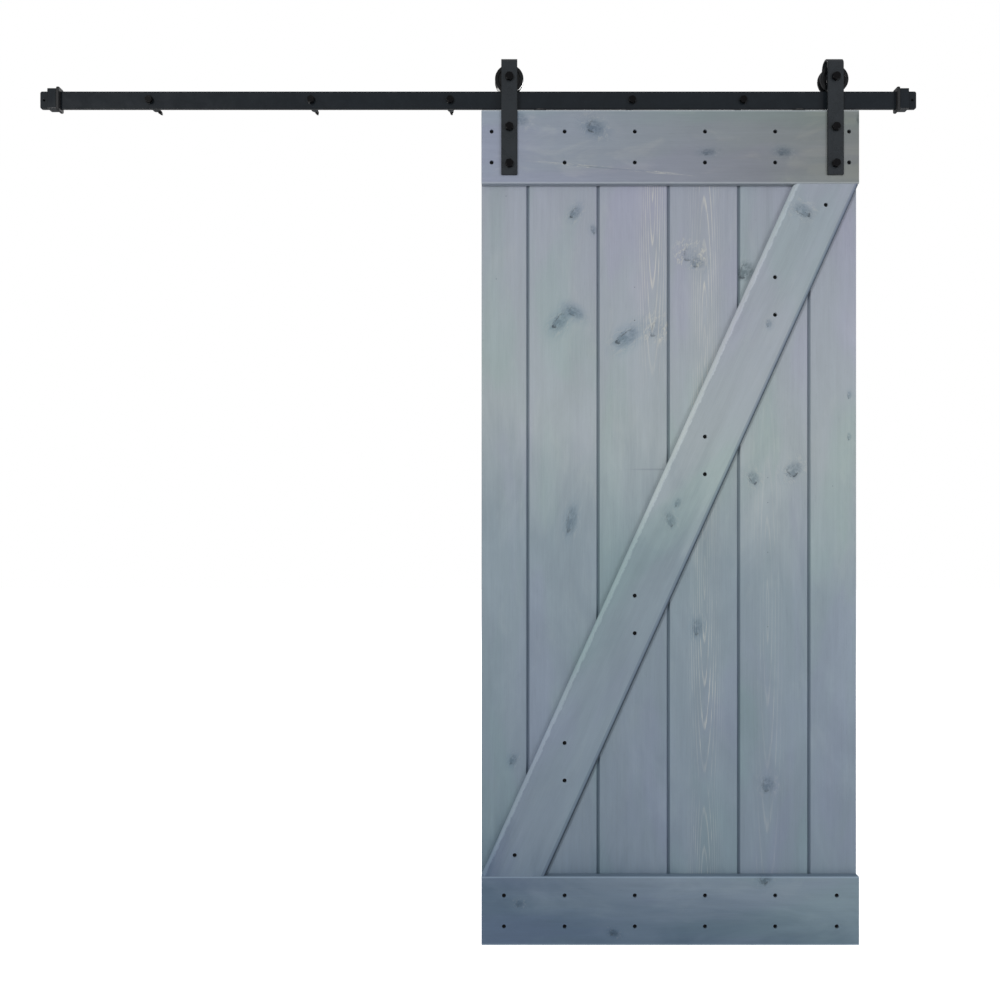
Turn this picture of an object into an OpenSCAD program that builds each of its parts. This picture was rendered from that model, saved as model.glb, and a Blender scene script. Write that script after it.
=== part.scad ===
// Sliding plank door with a diagonal brace, hung from a flat steel track by two
// strap hangers with grooved wheels. Millimetres.
// X runs along the track, Y points at the wall, Z is up. The origin is where the
// axis of the third lag screw meets the wall plane, so the wall is Y = 0 and the
// door's face looks along -Y. The door hangs near the track's right-hand end.

/* [Door panel] */
// Width of the door
door_w = 965.2; // [940:0.2:1000]
// Height of the door
door_h = 2133.6; // [1900:0.2:2400]
// Left edge of the door, from the third lag screw
door_left = 80.5; // [60:0.5:140]
// Gap between the track's lower edge and the door's top edge
door_gap = 8; // [7:0.5:10]
// Thickness of the vertical planks
plank_t = 18; // [16:0.5:20]
// Thickness of the boards and the brace on the planks
board_t = 17; // [15:0.5:19]
// Width of the first plank, which is ripped to fit
first_plank_w = 119; // [100:1:140]
// Pitch of the full planks
plank_pitch = 181; // [172:1:185]
// Height of the top board
top_board_h = 188; // [180:1:200]
// Height of the bottom board
bottom_board_h = 175.5; // [165:0.5:190]
// Width of the diagonal brace, square to its length
brace_w = 150; // [120:1:170]
// Chamfer along the brace's long edges
brace_chamfer = 6.5; // [3:0.5:8]
// Chamfer at each side of a joint between planks
v_groove = 4.5; // [2:0.5:4.5]

/* [Track] */
// Length of the track
rail_l = 2250; // [2200:1:2300]
// Left end of the track, from the third lag screw
rail_left = -1053; // [-1080:1:-1020]
// Height of the track
rail_h = 45; // [40:0.5:48]
// Thickness of the track
rail_t = 6; // [5:0.5:6.5]
// Length of the spacers between the track and the wall
spacer_l = 35; // [34:0.5:45]
// Radius of the spacers
spacer_r = 11; // [9:0.5:14]
// Bare length of track outside each stop
rail_tail = 22; // [15:1:30]

/* [Stops] */
// Length of a stop's block along the track
stop_block_l = 23.5; // [20:0.5:30]
// Depth of a stop's block
stop_block_d = 22; // [18:0.5:26]
// Height of a stop's block
stop_block_h = 52; // [51:0.5:56]
// Length of a stop's rubber bumper along the track
bumper_l = 7; // [5:0.5:12]
// Depth of a stop's rubber bumper
bumper_d = 26; // [24:0.5:27]
// Height of a stop's rubber bumper
bumper_h = 61; // [56:0.5:61]
// Height of a stop's middle above the track's middle
stop_lift = 1.5; // [0:0.5:1.5]

/* [Hangers] */
// Width of the strap
strap_w = 41; // [36:1:45]
// Thickness of the strap
strap_t = 5; // [4:0.5:6]
// Clear gap between the strap's two legs
strap_gap = 28; // [26:1:32]
// Bend centre above the axle
bend_rise = 34; // [31:1:38]
// Length of the back leg below the axle
back_leg = 20; // [16:1:22]
// Length of the front leg below the door's top edge
front_leg = 167; // [160:1:175]
// Upper strap bolt below the door's top edge
upper_bolt_drop = 46; // [40:1:60]
// Lower strap bolt below the door's top edge
lower_bolt_drop = 139; // [120:1:145]
// Left strap's centre line from the door's left edge
left_strap_inset = 71; // [60:1:90]
// Right strap's centre line from the door's right edge
right_strap_inset = 62; // [55:1:65]

/* [Wheels] */
// Radius at the bottom of the wheel's groove
tread_r = 28.9; // [26:0.1:32]
// Outer radius of the wheel
flange_r = 36.5; // [34:0.5:38]
// Width of the wheel
wheel_w = 20; // [18:1:22]
// Clearance between the groove's bottom and the track
roll_gap = 0.1; // [0.05:0.05:0.2]

/* [Hidden] */
$fn = 64;
over = 1; // how far a cutter runs past a face
head_root = 2; // how far a shank is rooted inside its head

// Finishes
steel_black = "#2b2d30";
rubber_black = "#17181a";
bare_steel = "#9a9c9e";
wood_blue = "#8f99a8";
screw_black = "#111214";

// Track and wall
lag_xs = [-772, -357, 0, 467, 752, 985];
rail_back = -spacer_l;
rail_front = rail_back - rail_t;
rail_mid = rail_back - rail_t / 2;
rail_hole_r = 5.5;
rail_corner_r = 5;
tail_hole_r = 3;
tail_hole_depth = 4.5;
tail_hole_inset = 10;

// Lag screws, 10 mm with a 17 mm head
lag_shank_r = 5;
lag_thread_r = 4.4; // halfway between the thread's crest and its core
lag_thread_l = 30;
lag_point_l = 8;
lag_head_af = 17;
lag_head_h = 7;
lag_washer_t = 1.6;
lag_washer_r = 10;

// Stops
stop_slot_gap = 0.2;
stop_chamfer = 1.5;
bumper_corner_r = 5;
set_screw_r = 2.5;
set_screw_pitch = 11;
set_screw_l = (stop_block_d - rail_t) / 2;
set_screw_socket_af = 2.5;
set_screw_socket_h = 3;
thread_gap = 0.05;

// Door levels and depths
door_top = -rail_h / 2 - door_gap;
door_bottom = door_top - door_h;
door_right = door_left + door_w;
door_front = rail_mid - strap_gap / 2;
plank_front = door_front + board_t;
door_back = plank_front + plank_t;
inner_top = door_top - top_board_h;
inner_bottom = door_bottom + bottom_board_h;
inner_h = inner_top - inner_bottom;

// Planks
plank_edges = [
    0, first_plank_w, first_plank_w + plank_pitch, first_plank_w + 2 * plank_pitch,
    first_plank_w + 3 * plank_pitch, first_plank_w + 4 * plank_pitch, door_w
];
joint_gap = 0.4;
tongue_t = 6;
tongue_l = 7;
tongue_gap = 0.3;
groove_t = tongue_t + tongue_gap;
plank_mid = (plank_front + door_back) / 2;
back_groove = 3;
edge_ease = 1;
board_ease = 1.5;

// The brace's level end cut, from its width and the space between the boards
brace_cut = (sqrt(pow(brace_w, 4) * pow(door_w, 2)
                  + (pow(inner_h, 2) - pow(brace_w, 2)) * pow(brace_w, 2)
                  * (pow(inner_h, 2) + pow(door_w, 2)))
             - pow(brace_w, 2) * door_w) / (pow(inner_h, 2) - pow(brace_w, 2));
brace_run = door_w - brace_cut;
brace_lean = atan(brace_run / inner_h);

// Wood screws
wood_screw_sink = 3;
wood_screw_head_r = 5;
wood_screw_head_h = 4;
wood_screw_r = 2;
wood_screw_l = 26;
wood_screw_point = 4;
cross_w = 1.2;
cross_l = 5.5;
cross_depth = 1.8;
screw_first_column = 212.5;
screw_column_pitch = 179.3;
top_screw_drops = [55, 134];
top_screw_inset = 26;
bottom_screw_rises = [48, 127];
bottom_screw_inset = 57.5;
brace_pair = 96;
brace_pair_shifts = [5, -15, -5, 6]; // the pairs are drilled by hand along the brace
brace_end_screw = 54;
brace_end_inset = 85;
inner_columns = [for (i = [0:3]) screw_first_column + i * screw_column_pitch];
top_screws = [
    for (x = concat([top_screw_inset], inner_columns, [door_w - top_screw_inset]))
        for (drop = top_screw_drops) [door_left + x, door_top - drop]
];
bottom_screws = [
    for (x = concat([bottom_screw_inset], inner_columns, [door_w - bottom_screw_inset]))
        for (rise = bottom_screw_rises) [door_left + x, door_bottom + rise]
];
function brace_mid_z(x) = inner_bottom + (x - brace_cut / 2) / tan(brace_lean);
brace_screws = concat(
    [[door_left + brace_end_inset, inner_bottom + brace_end_screw]],
    [for (i = [0:3]) for (s = [-1, 1])
        [door_left + inner_columns[i],
         brace_mid_z(inner_columns[i]) + brace_pair_shifts[i] + s * brace_pair / 2]],
    [[door_right - brace_end_inset, inner_top - brace_end_screw]]
);
all_wood_screws = concat(top_screws, bottom_screws, brace_screws);

// Anti-jump discs on the door's top edge
disc_r = 17;
disc_t = 5.5;
disc_inset = 150;
disc_screw_head_r = 4.2;
disc_screw_head_h = 3;
disc_screw_l = 32;
disc_cross_l = 4.6;
disc_y = (door_front + door_back) / 2;
disc_xs = [door_left + disc_inset, door_right - disc_inset];

// Hangers
axle_z = rail_h / 2 + roll_gap + tread_r;
left_x = door_left + left_strap_inset;
right_x = door_right - right_strap_inset;
strap_bolt_drops = [upper_bolt_drop, lower_bolt_drop];
bolt_r = 5.95;
bolt_hole_r = 6.1;
bolt_af = 19;
bolt_head_h = 8;
nut_h = 9;
thin_nut_h = 7;
bolt_tail = 2;
back_washer_t = 2;
back_washer_r = 12;
strap_corner = 4;
strap_foot = door_top - front_leg - axle_z; // below the axle, so negative

// Wheel and bearing, on an axis along Y
rim_chamfer = 1;
groove_half = 4;
groove_mouth_half = 6.3;
dish_in = 21;
dish_out = 27.5;
dish_depth = 1.8;
bearing_od_r = 16;
bearing_w = 10;
bearing_bore_r = 6;
bush_bore_r = 6;
bush_r = 9;
shoulder_r = 14.2;
ring_groove_r = 17;
ring_t = 1.2;
ring_bore_r = 14.4;
ring_gap_w = 7;
pitch_r = 11;
ball_r = 2.95;
race_r = 3.05;
outer_ring_in_r = 13.2;
inner_ring_out_r = 8.8;
ball_count = 8;
cage_in_r = 10.3;
cage_out_r = 11.7;
cage_half = 3.7;
pocket_r = 3.05;
shield_out = 4.6;
shield_t = 0.5;
shield_gap = 0.2;

// ---- helpers ----

module along_y() { rotate([-90, 0, 0]) children(); }

// A box about the origin with flat chamfers along all twelve edges
module eased_box(size, c) {
    intersection() {
        eased_prism(size.x, size.y, size.z, c);
        rotate([90, 0, 0]) eased_prism(size.x, size.z, size.y, c);
        rotate([0, 90, 0]) eased_prism(size.z, size.y, size.x, c);
    }
}

module eased_prism(w, d, h, c) {
    linear_extrude(height = h, center = true)
        polygon([
            [-w / 2 + c, -d / 2], [w / 2 - c, -d / 2], [w / 2, -d / 2 + c], [w / 2, d / 2 - c],
            [w / 2 - c, d / 2], [-w / 2 + c, d / 2], [-w / 2, d / 2 - c], [-w / 2, -d / 2 + c]
        ]);
}

// A hexagon head or nut blank with its corners turned off at the top, or at both ends
module hex_blank(af, h, both = false) {
    face_r = af / 2 * 0.95;
    wide_r = af / 2 / cos(30) + 1;
    turn = (wide_r - face_r) * tan(30);
    intersection() {
        cylinder(h = h, r = af / 2 / cos(30), $fn = 6);
        rotate_extrude()
            polygon([
                [0, 0], [both ? face_r : wide_r, 0], [wide_r, turn],
                [wide_r, h - turn], [face_r, h], [0, h]
            ]);
    }
}

// A turned shank along +Y from the origin, rooted a little inside its head
module shank(r, l, point_r, point_l) {
    along_y() rotate_extrude()
        polygon([[0, -head_root], [r, -head_root], [r, l - point_l], [point_r, l], [0, l]]);
}

// A hex-head bolt along +Y whose head bears at the origin
module hex_bolt(af, head_h, r, l) {
    mirror([0, 1, 0]) along_y() hex_blank(af, head_h);
    shank(r, l, r - 1, 1);
}

module washer(r, bore_r, t) {
    along_y() difference() {
        cylinder(h = t, r = r);
        translate([0, 0, -over]) cylinder(h = t + 2 * over, r = bore_r);
    }
}

// ---- track ----

module track_rail() {
    color(steel_black)
    difference() {
        translate([rail_left, rail_back, 0]) rotate([90, 0, 0])
            linear_extrude(height = rail_t) rounded_strip(rail_l, rail_h, rail_corner_r);
        for (x = lag_xs)
            translate([x, rail_front - over, 0]) along_y()
                cylinder(h = rail_t + 2 * over, r = rail_hole_r);
        for (x = [rail_left + tail_hole_inset, rail_left + rail_l - tail_hole_inset])
            translate([x, rail_front - over, 0]) along_y()
                cylinder(h = tail_hole_depth + over, r = tail_hole_r);
    }
}

// A flat strip from x = 0 with four rounded corners
module rounded_strip(l, h, r) {
    translate([r, -h / 2]) square([l - 2 * r, h]);
    translate([0, -h / 2 + r]) square([l, h - 2 * r]);
    for (x = [r, l - r])
        for (y = [-h / 2 + r, h / 2 - r])
            translate([x, y]) circle(r = r);
}

module lag_screws() {
    color(screw_black)
    for (x = lag_xs)
        translate([x, rail_front - lag_washer_t, 0]) lag_screw();
}

module lag_screw() {
    plain_l = lag_washer_t + rail_t + spacer_l;
    thread_l = lag_thread_l + lag_point_l;
    mirror([0, 1, 0]) along_y() hex_blank(lag_head_af, lag_head_h);
    shank(lag_shank_r, plain_l, lag_shank_r, 0.5);
    translate([0, plain_l, 0]) shank(lag_thread_r, thread_l, 0.5, lag_point_l);
}

module lag_washers() {
    color(steel_black)
    for (x = lag_xs)
        translate([x, rail_front - lag_washer_t, 0])
            washer(lag_washer_r, rail_hole_r, lag_washer_t);
}

module wall_spacers() {
    color(steel_black)
    for (x = lag_xs)
        translate([x, rail_back, 0]) washer(spacer_r, rail_hole_r, spacer_l);
}

// ---- stops: side is -1 at the left end of the track, 1 at the right end ----

function stop_x(side) = (side < 0 ? rail_left : rail_left + rail_l) - side * rail_tail;
function block_x(side) = stop_x(side) - side * stop_block_l / 2;
function bumper_x(side) = stop_x(side) - side * (stop_block_l + bumper_l / 2);

// The slot that the track passes through, about the stop's middle
module rail_slot() {
    translate([0, 0, -stop_lift])
        cube([2 * stop_block_l, rail_t + 2 * stop_slot_gap, rail_h + 2 * stop_slot_gap], center = true);
}

module stop_block_part(side) {
    color(steel_black)
    translate([block_x(side), rail_mid, stop_lift])
    difference() {
        eased_box([stop_block_l, stop_block_d, stop_block_h], stop_chamfer);
        rail_slot();
        for (s = [-1, 1])
            translate([s * set_screw_pitch / 2, 0, -stop_lift]) along_y()
                cylinder(h = stop_block_d, r = set_screw_r + thread_gap);
    }
}

// Rubber collar with rounded corners that the wheel meets
module stop_bumper_part(side) {
    color(rubber_black)
    translate([bumper_x(side), rail_mid, stop_lift])
    difference() {
        intersection() {
            eased_box([bumper_l, bumper_d, bumper_h], stop_chamfer);
            rotate([90, 0, 90]) linear_extrude(height = bumper_l, center = true)
                translate([-bumper_d / 2, 0]) rounded_strip(bumper_d, bumper_h, bumper_corner_r);
        }
        rail_slot();
    }
}

// Socket set screws that clamp the block on the track from behind
module stop_set_screws(side) {
    color(screw_black)
    for (s = [-1, 1])
        translate([block_x(side) + s * set_screw_pitch / 2, rail_back, 0]) along_y()
        difference() {
            cylinder(h = set_screw_l, r = set_screw_r);
            translate([0, 0, set_screw_l - set_screw_socket_h])
                cylinder(h = set_screw_socket_h + over, r = set_screw_socket_af / 2 / cos(30), $fn = 6);
        }
}

// ---- door panel ----

// Section of a plank: joints have a chamfer in front and behind, and a tongue or a groove
function plank_left(x, joint) = joint
    ? [[x + back_groove, door_back], [x, door_back - back_groove],
       [x, plank_mid + groove_t / 2], [x + tongue_l + tongue_gap, plank_mid + groove_t / 2],
       [x + tongue_l + tongue_gap, plank_mid - groove_t / 2], [x, plank_mid - groove_t / 2],
       [x, plank_front + v_groove], [x + v_groove, plank_front]]
    : [[x + edge_ease, door_back], [x, door_back - edge_ease],
       [x, plank_front + edge_ease], [x + edge_ease, plank_front]];
function plank_right(x, joint) = joint
    ? [[x - v_groove, plank_front], [x, plank_front + v_groove],
       [x, plank_mid - tongue_t / 2], [x + tongue_l, plank_mid - tongue_t / 2],
       [x + tongue_l, plank_mid + tongue_t / 2], [x, plank_mid + tongue_t / 2],
       [x, door_back - back_groove], [x - back_groove, door_back]]
    : [[x - edge_ease, plank_front], [x, plank_front + edge_ease],
       [x, door_back - edge_ease], [x - edge_ease, door_back]];

module plank(n) {
    first = n == 1;
    last = n == 6;
    x0 = door_left + plank_edges[n - 1] + (first ? 0 : joint_gap / 2);
    x1 = door_left + plank_edges[n] - (last ? 0 : joint_gap / 2);
    color(wood_blue)
    difference() {
        translate([0, 0, door_bottom]) linear_extrude(height = door_h)
            polygon(concat(plank_left(x0, !first), plank_right(x1, !last)));
        for (p = all_wood_screws)
            if (p[0] > x0 && p[0] < x1) translate([p[0], 0, p[1]]) wood_screw_hole();
        strap_bolt_holes(left_x);
        strap_bolt_holes(right_x);
        disc_screw_holes();
    }
}

// A board nailed flat on the planks, from one height to another
module board(z0, z1, screws) {
    color(wood_blue)
    difference() {
        translate([(door_left + door_right) / 2, door_front + board_t / 2, (z0 + z1) / 2])
            eased_box([door_w, board_t, z1 - z0], board_ease);
        for (p = screws) translate([p[0], 0, p[1]]) wood_screw_hole();
        strap_bolt_holes(left_x);
        strap_bolt_holes(right_x);
        disc_screw_holes();
    }
}

module strap_bolt_holes(x) {
    for (drop = strap_bolt_drops)
        translate([x, door_front - over, door_top - drop]) along_y()
            cylinder(h = board_t + plank_t + 2 * over, r = bolt_hole_r);
}

// Runs from the bottom left corner to the top right one and butts against both boards
module diagonal_brace() {
    color(wood_blue)
    difference() {
        intersection() {
            translate([door_left + door_w / 2, door_front, (inner_top + inner_bottom) / 2])
            rotate([0, brace_lean, 0])
            linear_extrude(height = 2 * inner_h, center = true)
                polygon([
                    [-brace_w / 2, board_t], [-brace_w / 2, brace_chamfer],
                    [-brace_w / 2 + brace_chamfer, 0], [brace_w / 2 - brace_chamfer, 0],
                    [brace_w / 2, brace_chamfer], [brace_w / 2, board_t]
                ]);
            translate([door_left, door_front - over, inner_bottom])
                cube([door_w, board_t + 2 * over, inner_h]);
        }
        for (p = brace_screws) translate([p[0], 0, p[1]]) wood_screw_hole();
    }
}

// ---- wood screws, sunk below the boards' face ----

module screw_set(places) {
    color(screw_black)
    for (p = places)
        translate([p[0], door_front + wood_screw_sink, p[1]])
        difference() {
            along_y() wood_screw_body();
            for (turn = [0, 90])
                rotate([0, turn, 0])
                    translate([-cross_l / 2, -over, -cross_w / 2])
                        cube([cross_l, cross_depth + over, cross_w]);
        }
}

module wood_screw_body() {
    cylinder(h = 0.6, r = wood_screw_head_r);
    translate([0, 0, 0.6])
        cylinder(h = wood_screw_head_h - 0.6, r1 = wood_screw_head_r, r2 = wood_screw_r);
    translate([0, 0, wood_screw_head_h])
        cylinder(h = wood_screw_l - wood_screw_head_h - wood_screw_point, r = wood_screw_r);
    translate([0, 0, wood_screw_l - wood_screw_point])
        cylinder(h = wood_screw_point, r1 = wood_screw_r, r2 = 0.3);
}

module wood_screw_hole() {
    translate([0, door_front - over, 0]) along_y()
        cylinder(h = wood_screw_sink + over, r = wood_screw_head_r + 0.3);
    translate([0, door_front + wood_screw_sink, 0]) along_y() wood_screw_body();
}

// ---- anti-jump discs under the track ----

module anti_jump_discs() {
    color(rubber_black)
    for (x = disc_xs)
        translate([x, disc_y, door_top])
        difference() {
            union() {
                cylinder(h = disc_t - 1, r = disc_r);
                translate([0, 0, disc_t - 1]) cylinder(h = 1, r1 = disc_r, r2 = disc_r - 1);
            }
            translate([0, 0, -over]) cylinder(h = disc_t + 2 * over, r = wood_screw_r + 0.3);
            translate([0, 0, disc_t - disc_screw_head_h])
                cylinder(h = disc_screw_head_h + over, r = disc_screw_head_r + 0.3);
        }
}

module anti_jump_screws() {
    color(screw_black)
    for (x = disc_xs)
        translate([x, disc_y, door_top])
        difference() {
            union() {
                translate([0, 0, disc_t - disc_screw_head_h])
                    cylinder(h = disc_screw_head_h, r = disc_screw_head_r);
                disc_screw_shank();
            }
            for (turn = [0, 90])
                rotate([0, 0, turn])
                    translate([-disc_cross_l / 2, -cross_w / 2, disc_t - cross_depth])
                        cube([disc_cross_l, cross_w, cross_depth + over]);
        }
}

// From its point up to the head, about the door's top edge
module disc_screw_shank() {
    translate([0, 0, -disc_screw_l])
        cylinder(h = wood_screw_point, r1 = 0.3, r2 = wood_screw_r);
    translate([0, 0, wood_screw_point - disc_screw_l])
        cylinder(h = disc_screw_l - wood_screw_point + disc_t - disc_screw_head_h / 2,
                 r = wood_screw_r);
}

module disc_screw_holes() {
    for (x = disc_xs) translate([x, disc_y, door_top]) disc_screw_shank();
}

// ---- hangers, about an axle at the origin ----

module at_axle(x) { translate([x, rail_mid, axle_z]) children(); }

module hanger_strap(x) {
    half = strap_gap / 2;
    color(steel_black)
    at_axle(x)
    difference() {
        intersection() {
            translate([-strap_w / 2, 0, 0]) rotate([90, 0, 90])
                linear_extrude(height = strap_w) strap_section();
            translate([0, 2 * half, 0]) rotate([90, 0, 0])
                linear_extrude(height = 4 * half) strap_outline();
        }
        translate([0, -half - strap_t - over, 0]) along_y()
            cylinder(h = strap_gap + 2 * strap_t + 2 * over, r = bolt_hole_r);
        for (drop = strap_bolt_drops)
            translate([0, -half - strap_t - over, door_top - drop - axle_z]) along_y()
                cylinder(h = strap_t + 2 * over, r = bolt_hole_r);
    }
}

// Side section: long front leg, half-round bend over the wheel, short back leg
module strap_section() {
    half = strap_gap / 2;
    translate([-half - strap_t, strap_foot]) square([strap_t, bend_rise - strap_foot]);
    translate([half, -back_leg]) square([strap_t, bend_rise + back_leg]);
    translate([0, bend_rise])
    difference() {
        circle(r = half + strap_t);
        circle(r = half);
        translate([-2 * half, -4 * half]) square([4 * half, 4 * half]);
    }
}

// Face outline, with the foot's corners clipped
module strap_outline() {
    top = bend_rise + strap_gap;
    polygon([
        [-strap_w / 2 + strap_corner / 2, strap_foot], [strap_w / 2 - strap_corner / 2, strap_foot],
        [strap_w / 2, strap_foot + strap_corner / 2], [strap_w / 2, top],
        [-strap_w / 2, top], [-strap_w / 2, strap_foot + strap_corner / 2]
    ]);
}

module strap_bolts(x) {
    l = strap_t + board_t + plank_t + back_washer_t + thin_nut_h + bolt_tail;
    color(screw_black)
    for (drop = strap_bolt_drops)
        translate([x, door_front - strap_t, door_top - drop])
            hex_bolt(bolt_af, bolt_head_h, bolt_r, l);
}

module strap_washers(x) {
    color(bare_steel)
    for (drop = strap_bolt_drops)
        translate([x, door_back, door_top - drop])
            washer(back_washer_r, bolt_hole_r, back_washer_t);
}

module hex_nut(h) {
    along_y() difference() {
        hex_blank(bolt_af, h, both = true);
        translate([0, 0, -over]) cylinder(h = h + 2 * over, r = bolt_r + thread_gap);
    }
}

module strap_nuts(x) {
    color(bare_steel)
    for (drop = strap_bolt_drops)
        translate([x, door_back + back_washer_t, door_top - drop]) hex_nut(thin_nut_h);
}

module axle_bolt(x) {
    l = strap_gap + 2 * strap_t + back_washer_t + nut_h + bolt_tail;
    color(screw_black)
    at_axle(x) translate([0, -strap_gap / 2 - strap_t, 0])
        hex_bolt(bolt_af, bolt_head_h, bolt_r, l);
}

module axle_washer(x) {
    color(screw_black)
    at_axle(x) translate([0, strap_gap / 2 + strap_t, 0])
        washer(back_washer_r, bolt_hole_r, back_washer_t);
}

module axle_nut(x) {
    color(screw_black)
    at_axle(x) translate([0, strap_gap / 2 + strap_t + back_washer_t, 0]) hex_nut(nut_h);
}

// Two sleeves that hold the bearing in the middle of the strap
module axle_bushes(x) {
    bush_l = (strap_gap - bearing_w) / 2;
    color(bare_steel)
    at_axle(x)
    for (y = [-strap_gap / 2, bearing_w / 2])
        translate([0, y, 0]) washer(bush_r, bush_bore_r, bush_l);
}

// ---- wheel and bearing ----

module turned(x) { at_axle(x) along_y() rotate_extrude() children(); }

module wheel_rim(x) {
    h = wheel_w / 2;
    b = bearing_w / 2;
    color(steel_black)
    turned(x) polygon([
        [shoulder_r, -h + rim_chamfer], [shoulder_r + rim_chamfer, -h],
        [dish_in - dish_depth / 2, -h], [dish_in, -h + dish_depth],
        [dish_out, -h + dish_depth], [dish_out + dish_depth / 2, -h],
        [flange_r - rim_chamfer, -h], [flange_r, -h + rim_chamfer],
        [flange_r, -groove_mouth_half - 0.5], [flange_r - 0.5, -groove_mouth_half],
        [tread_r + 0.5, -groove_half], [tread_r, -groove_half + 0.5],
        [tread_r, groove_half - 0.5], [tread_r + 0.5, groove_half],
        [flange_r - 0.5, groove_mouth_half], [flange_r, groove_mouth_half + 0.5],
        [flange_r, h - rim_chamfer], [flange_r - rim_chamfer, h],
        [dish_out + dish_depth / 2, h], [dish_out, h - dish_depth],
        [dish_in, h - dish_depth], [dish_in - dish_depth / 2, h],
        [bearing_od_r + rim_chamfer, h], [bearing_od_r, h - rim_chamfer],
        [bearing_od_r, b + ring_t], [ring_groove_r, b + ring_t], [ring_groove_r, b],
        [bearing_od_r, b], [bearing_od_r, -b], [shoulder_r, -b]
    ]);
}

// Split ring that keeps the bearing in the wheel
module retaining_ring(x) {
    color(bare_steel)
    at_axle(x)
    translate([0, bearing_w / 2, 0])
    difference() {
        washer(ring_groove_r, ring_bore_r, ring_t);
        translate([-ring_gap_w / 2, -over, 0])
            cube([ring_gap_w, ring_t + 2 * over, ring_groove_r + over]);
    }
}

module bearing_outer_ring(x) {
    b = bearing_w / 2;
    color(bare_steel)
    turned(x) difference() {
        translate([outer_ring_in_r, -b]) square([bearing_od_r - outer_ring_in_r, bearing_w]);
        translate([pitch_r, 0]) circle(r = race_r);
        for (side = [-1, 1])
            translate([outer_ring_in_r - over, side * (shield_out - shield_t / 2) - shield_t / 2])
                square([over + 0.8, shield_t]);
    }
}

module bearing_inner_ring(x) {
    color(bare_steel)
    turned(x) difference() {
        translate([bearing_bore_r, -bearing_w / 2])
            square([inner_ring_out_r - bearing_bore_r, bearing_w]);
        translate([pitch_r, 0]) circle(r = race_r);
    }
}

module bearing_shields(x) {
    color(screw_black)
    for (side = [-1, 1])
        turned(x)
            translate([inner_ring_out_r + shield_gap, side * (shield_out - shield_t / 2) - shield_t / 2])
                square([outer_ring_in_r + 0.8 - inner_ring_out_r - shield_gap, shield_t]);
}

module ball_places() {
    for (i = [0:ball_count - 1])
        rotate([0, i * 360 / ball_count, 0]) translate([pitch_r, 0, 0]) children();
}

module bearing_balls(x) {
    color(bare_steel) at_axle(x) ball_places() sphere(r = ball_r);
}

module bearing_cage(x) {
    color("#b08d4a")
    at_axle(x) difference() {
        along_y() rotate_extrude()
            translate([cage_in_r, -cage_half]) square([cage_out_r - cage_in_r, 2 * cage_half]);
        ball_places() rotate([0, 90, 0])
            cylinder(h = 2 * (cage_out_r - cage_in_r) + 2 * over, r = pocket_r, center = true);
    }
}

// ---- nodes ----

track_rail();
lag_screws();
lag_washers();
wall_spacers();
stop_block_part(-1);  // left_stop_block
stop_bumper_part(-1);  // left_stop_bumper
stop_set_screws(-1);  // left_stop_set_screws
stop_block_part(1);  // right_stop_block
stop_bumper_part(1);  // right_stop_bumper
stop_set_screws(1);  // right_stop_set_screws
plank(1);  // plank_1
plank(2);  // plank_2
plank(3);  // plank_3
plank(4);  // plank_4
plank(5);  // plank_5
plank(6);  // plank_6
board(inner_top, door_top, top_screws);  // top_board
board(door_bottom, inner_bottom, bottom_screws);  // bottom_board
diagonal_brace();
screw_set(top_screws);  // top_board_screws
screw_set(bottom_screws);  // bottom_board_screws
screw_set(brace_screws);
anti_jump_discs();
anti_jump_screws();
hanger_strap(left_x);  // left_hanger_strap
strap_bolts(left_x);  // left_strap_bolts
strap_washers(left_x);  // left_strap_washers
strap_nuts(left_x);  // left_strap_nuts
axle_bolt(left_x);  // left_axle_bolt
axle_washer(left_x);  // left_axle_washer
axle_nut(left_x);  // left_axle_nut
axle_bushes(left_x);  // left_axle_bushes
wheel_rim(left_x);  // left_wheel_rim
retaining_ring(left_x);  // left_retaining_ring
bearing_outer_ring(left_x);  // left_bearing_outer_ring
bearing_shields(left_x);  // left_bearing_shields
bearing_inner_ring(left_x);  // left_bearing_inner_ring
bearing_cage(left_x);  // left_bearing_cage
bearing_balls(left_x);  // left_bearing_balls
hanger_strap(right_x);  // right_hanger_strap
strap_bolts(right_x);  // right_strap_bolts
strap_washers(right_x);  // right_strap_washers
strap_nuts(right_x);  // right_strap_nuts
axle_bolt(right_x);  // right_axle_bolt
axle_washer(right_x);  // right_axle_washer
axle_nut(right_x);  // right_axle_nut
axle_bushes(right_x);  // right_axle_bushes
wheel_rim(right_x);  // right_wheel_rim
retaining_ring(right_x);  // right_retaining_ring
bearing_outer_ring(right_x);  // right_bearing_outer_ring
bearing_shields(right_x);  // right_bearing_shields
bearing_inner_ring(right_x);  // right_bearing_inner_ring
bearing_cage(right_x);  // right_bearing_cage
bearing_balls(right_x);  // right_bearing_balls
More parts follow.
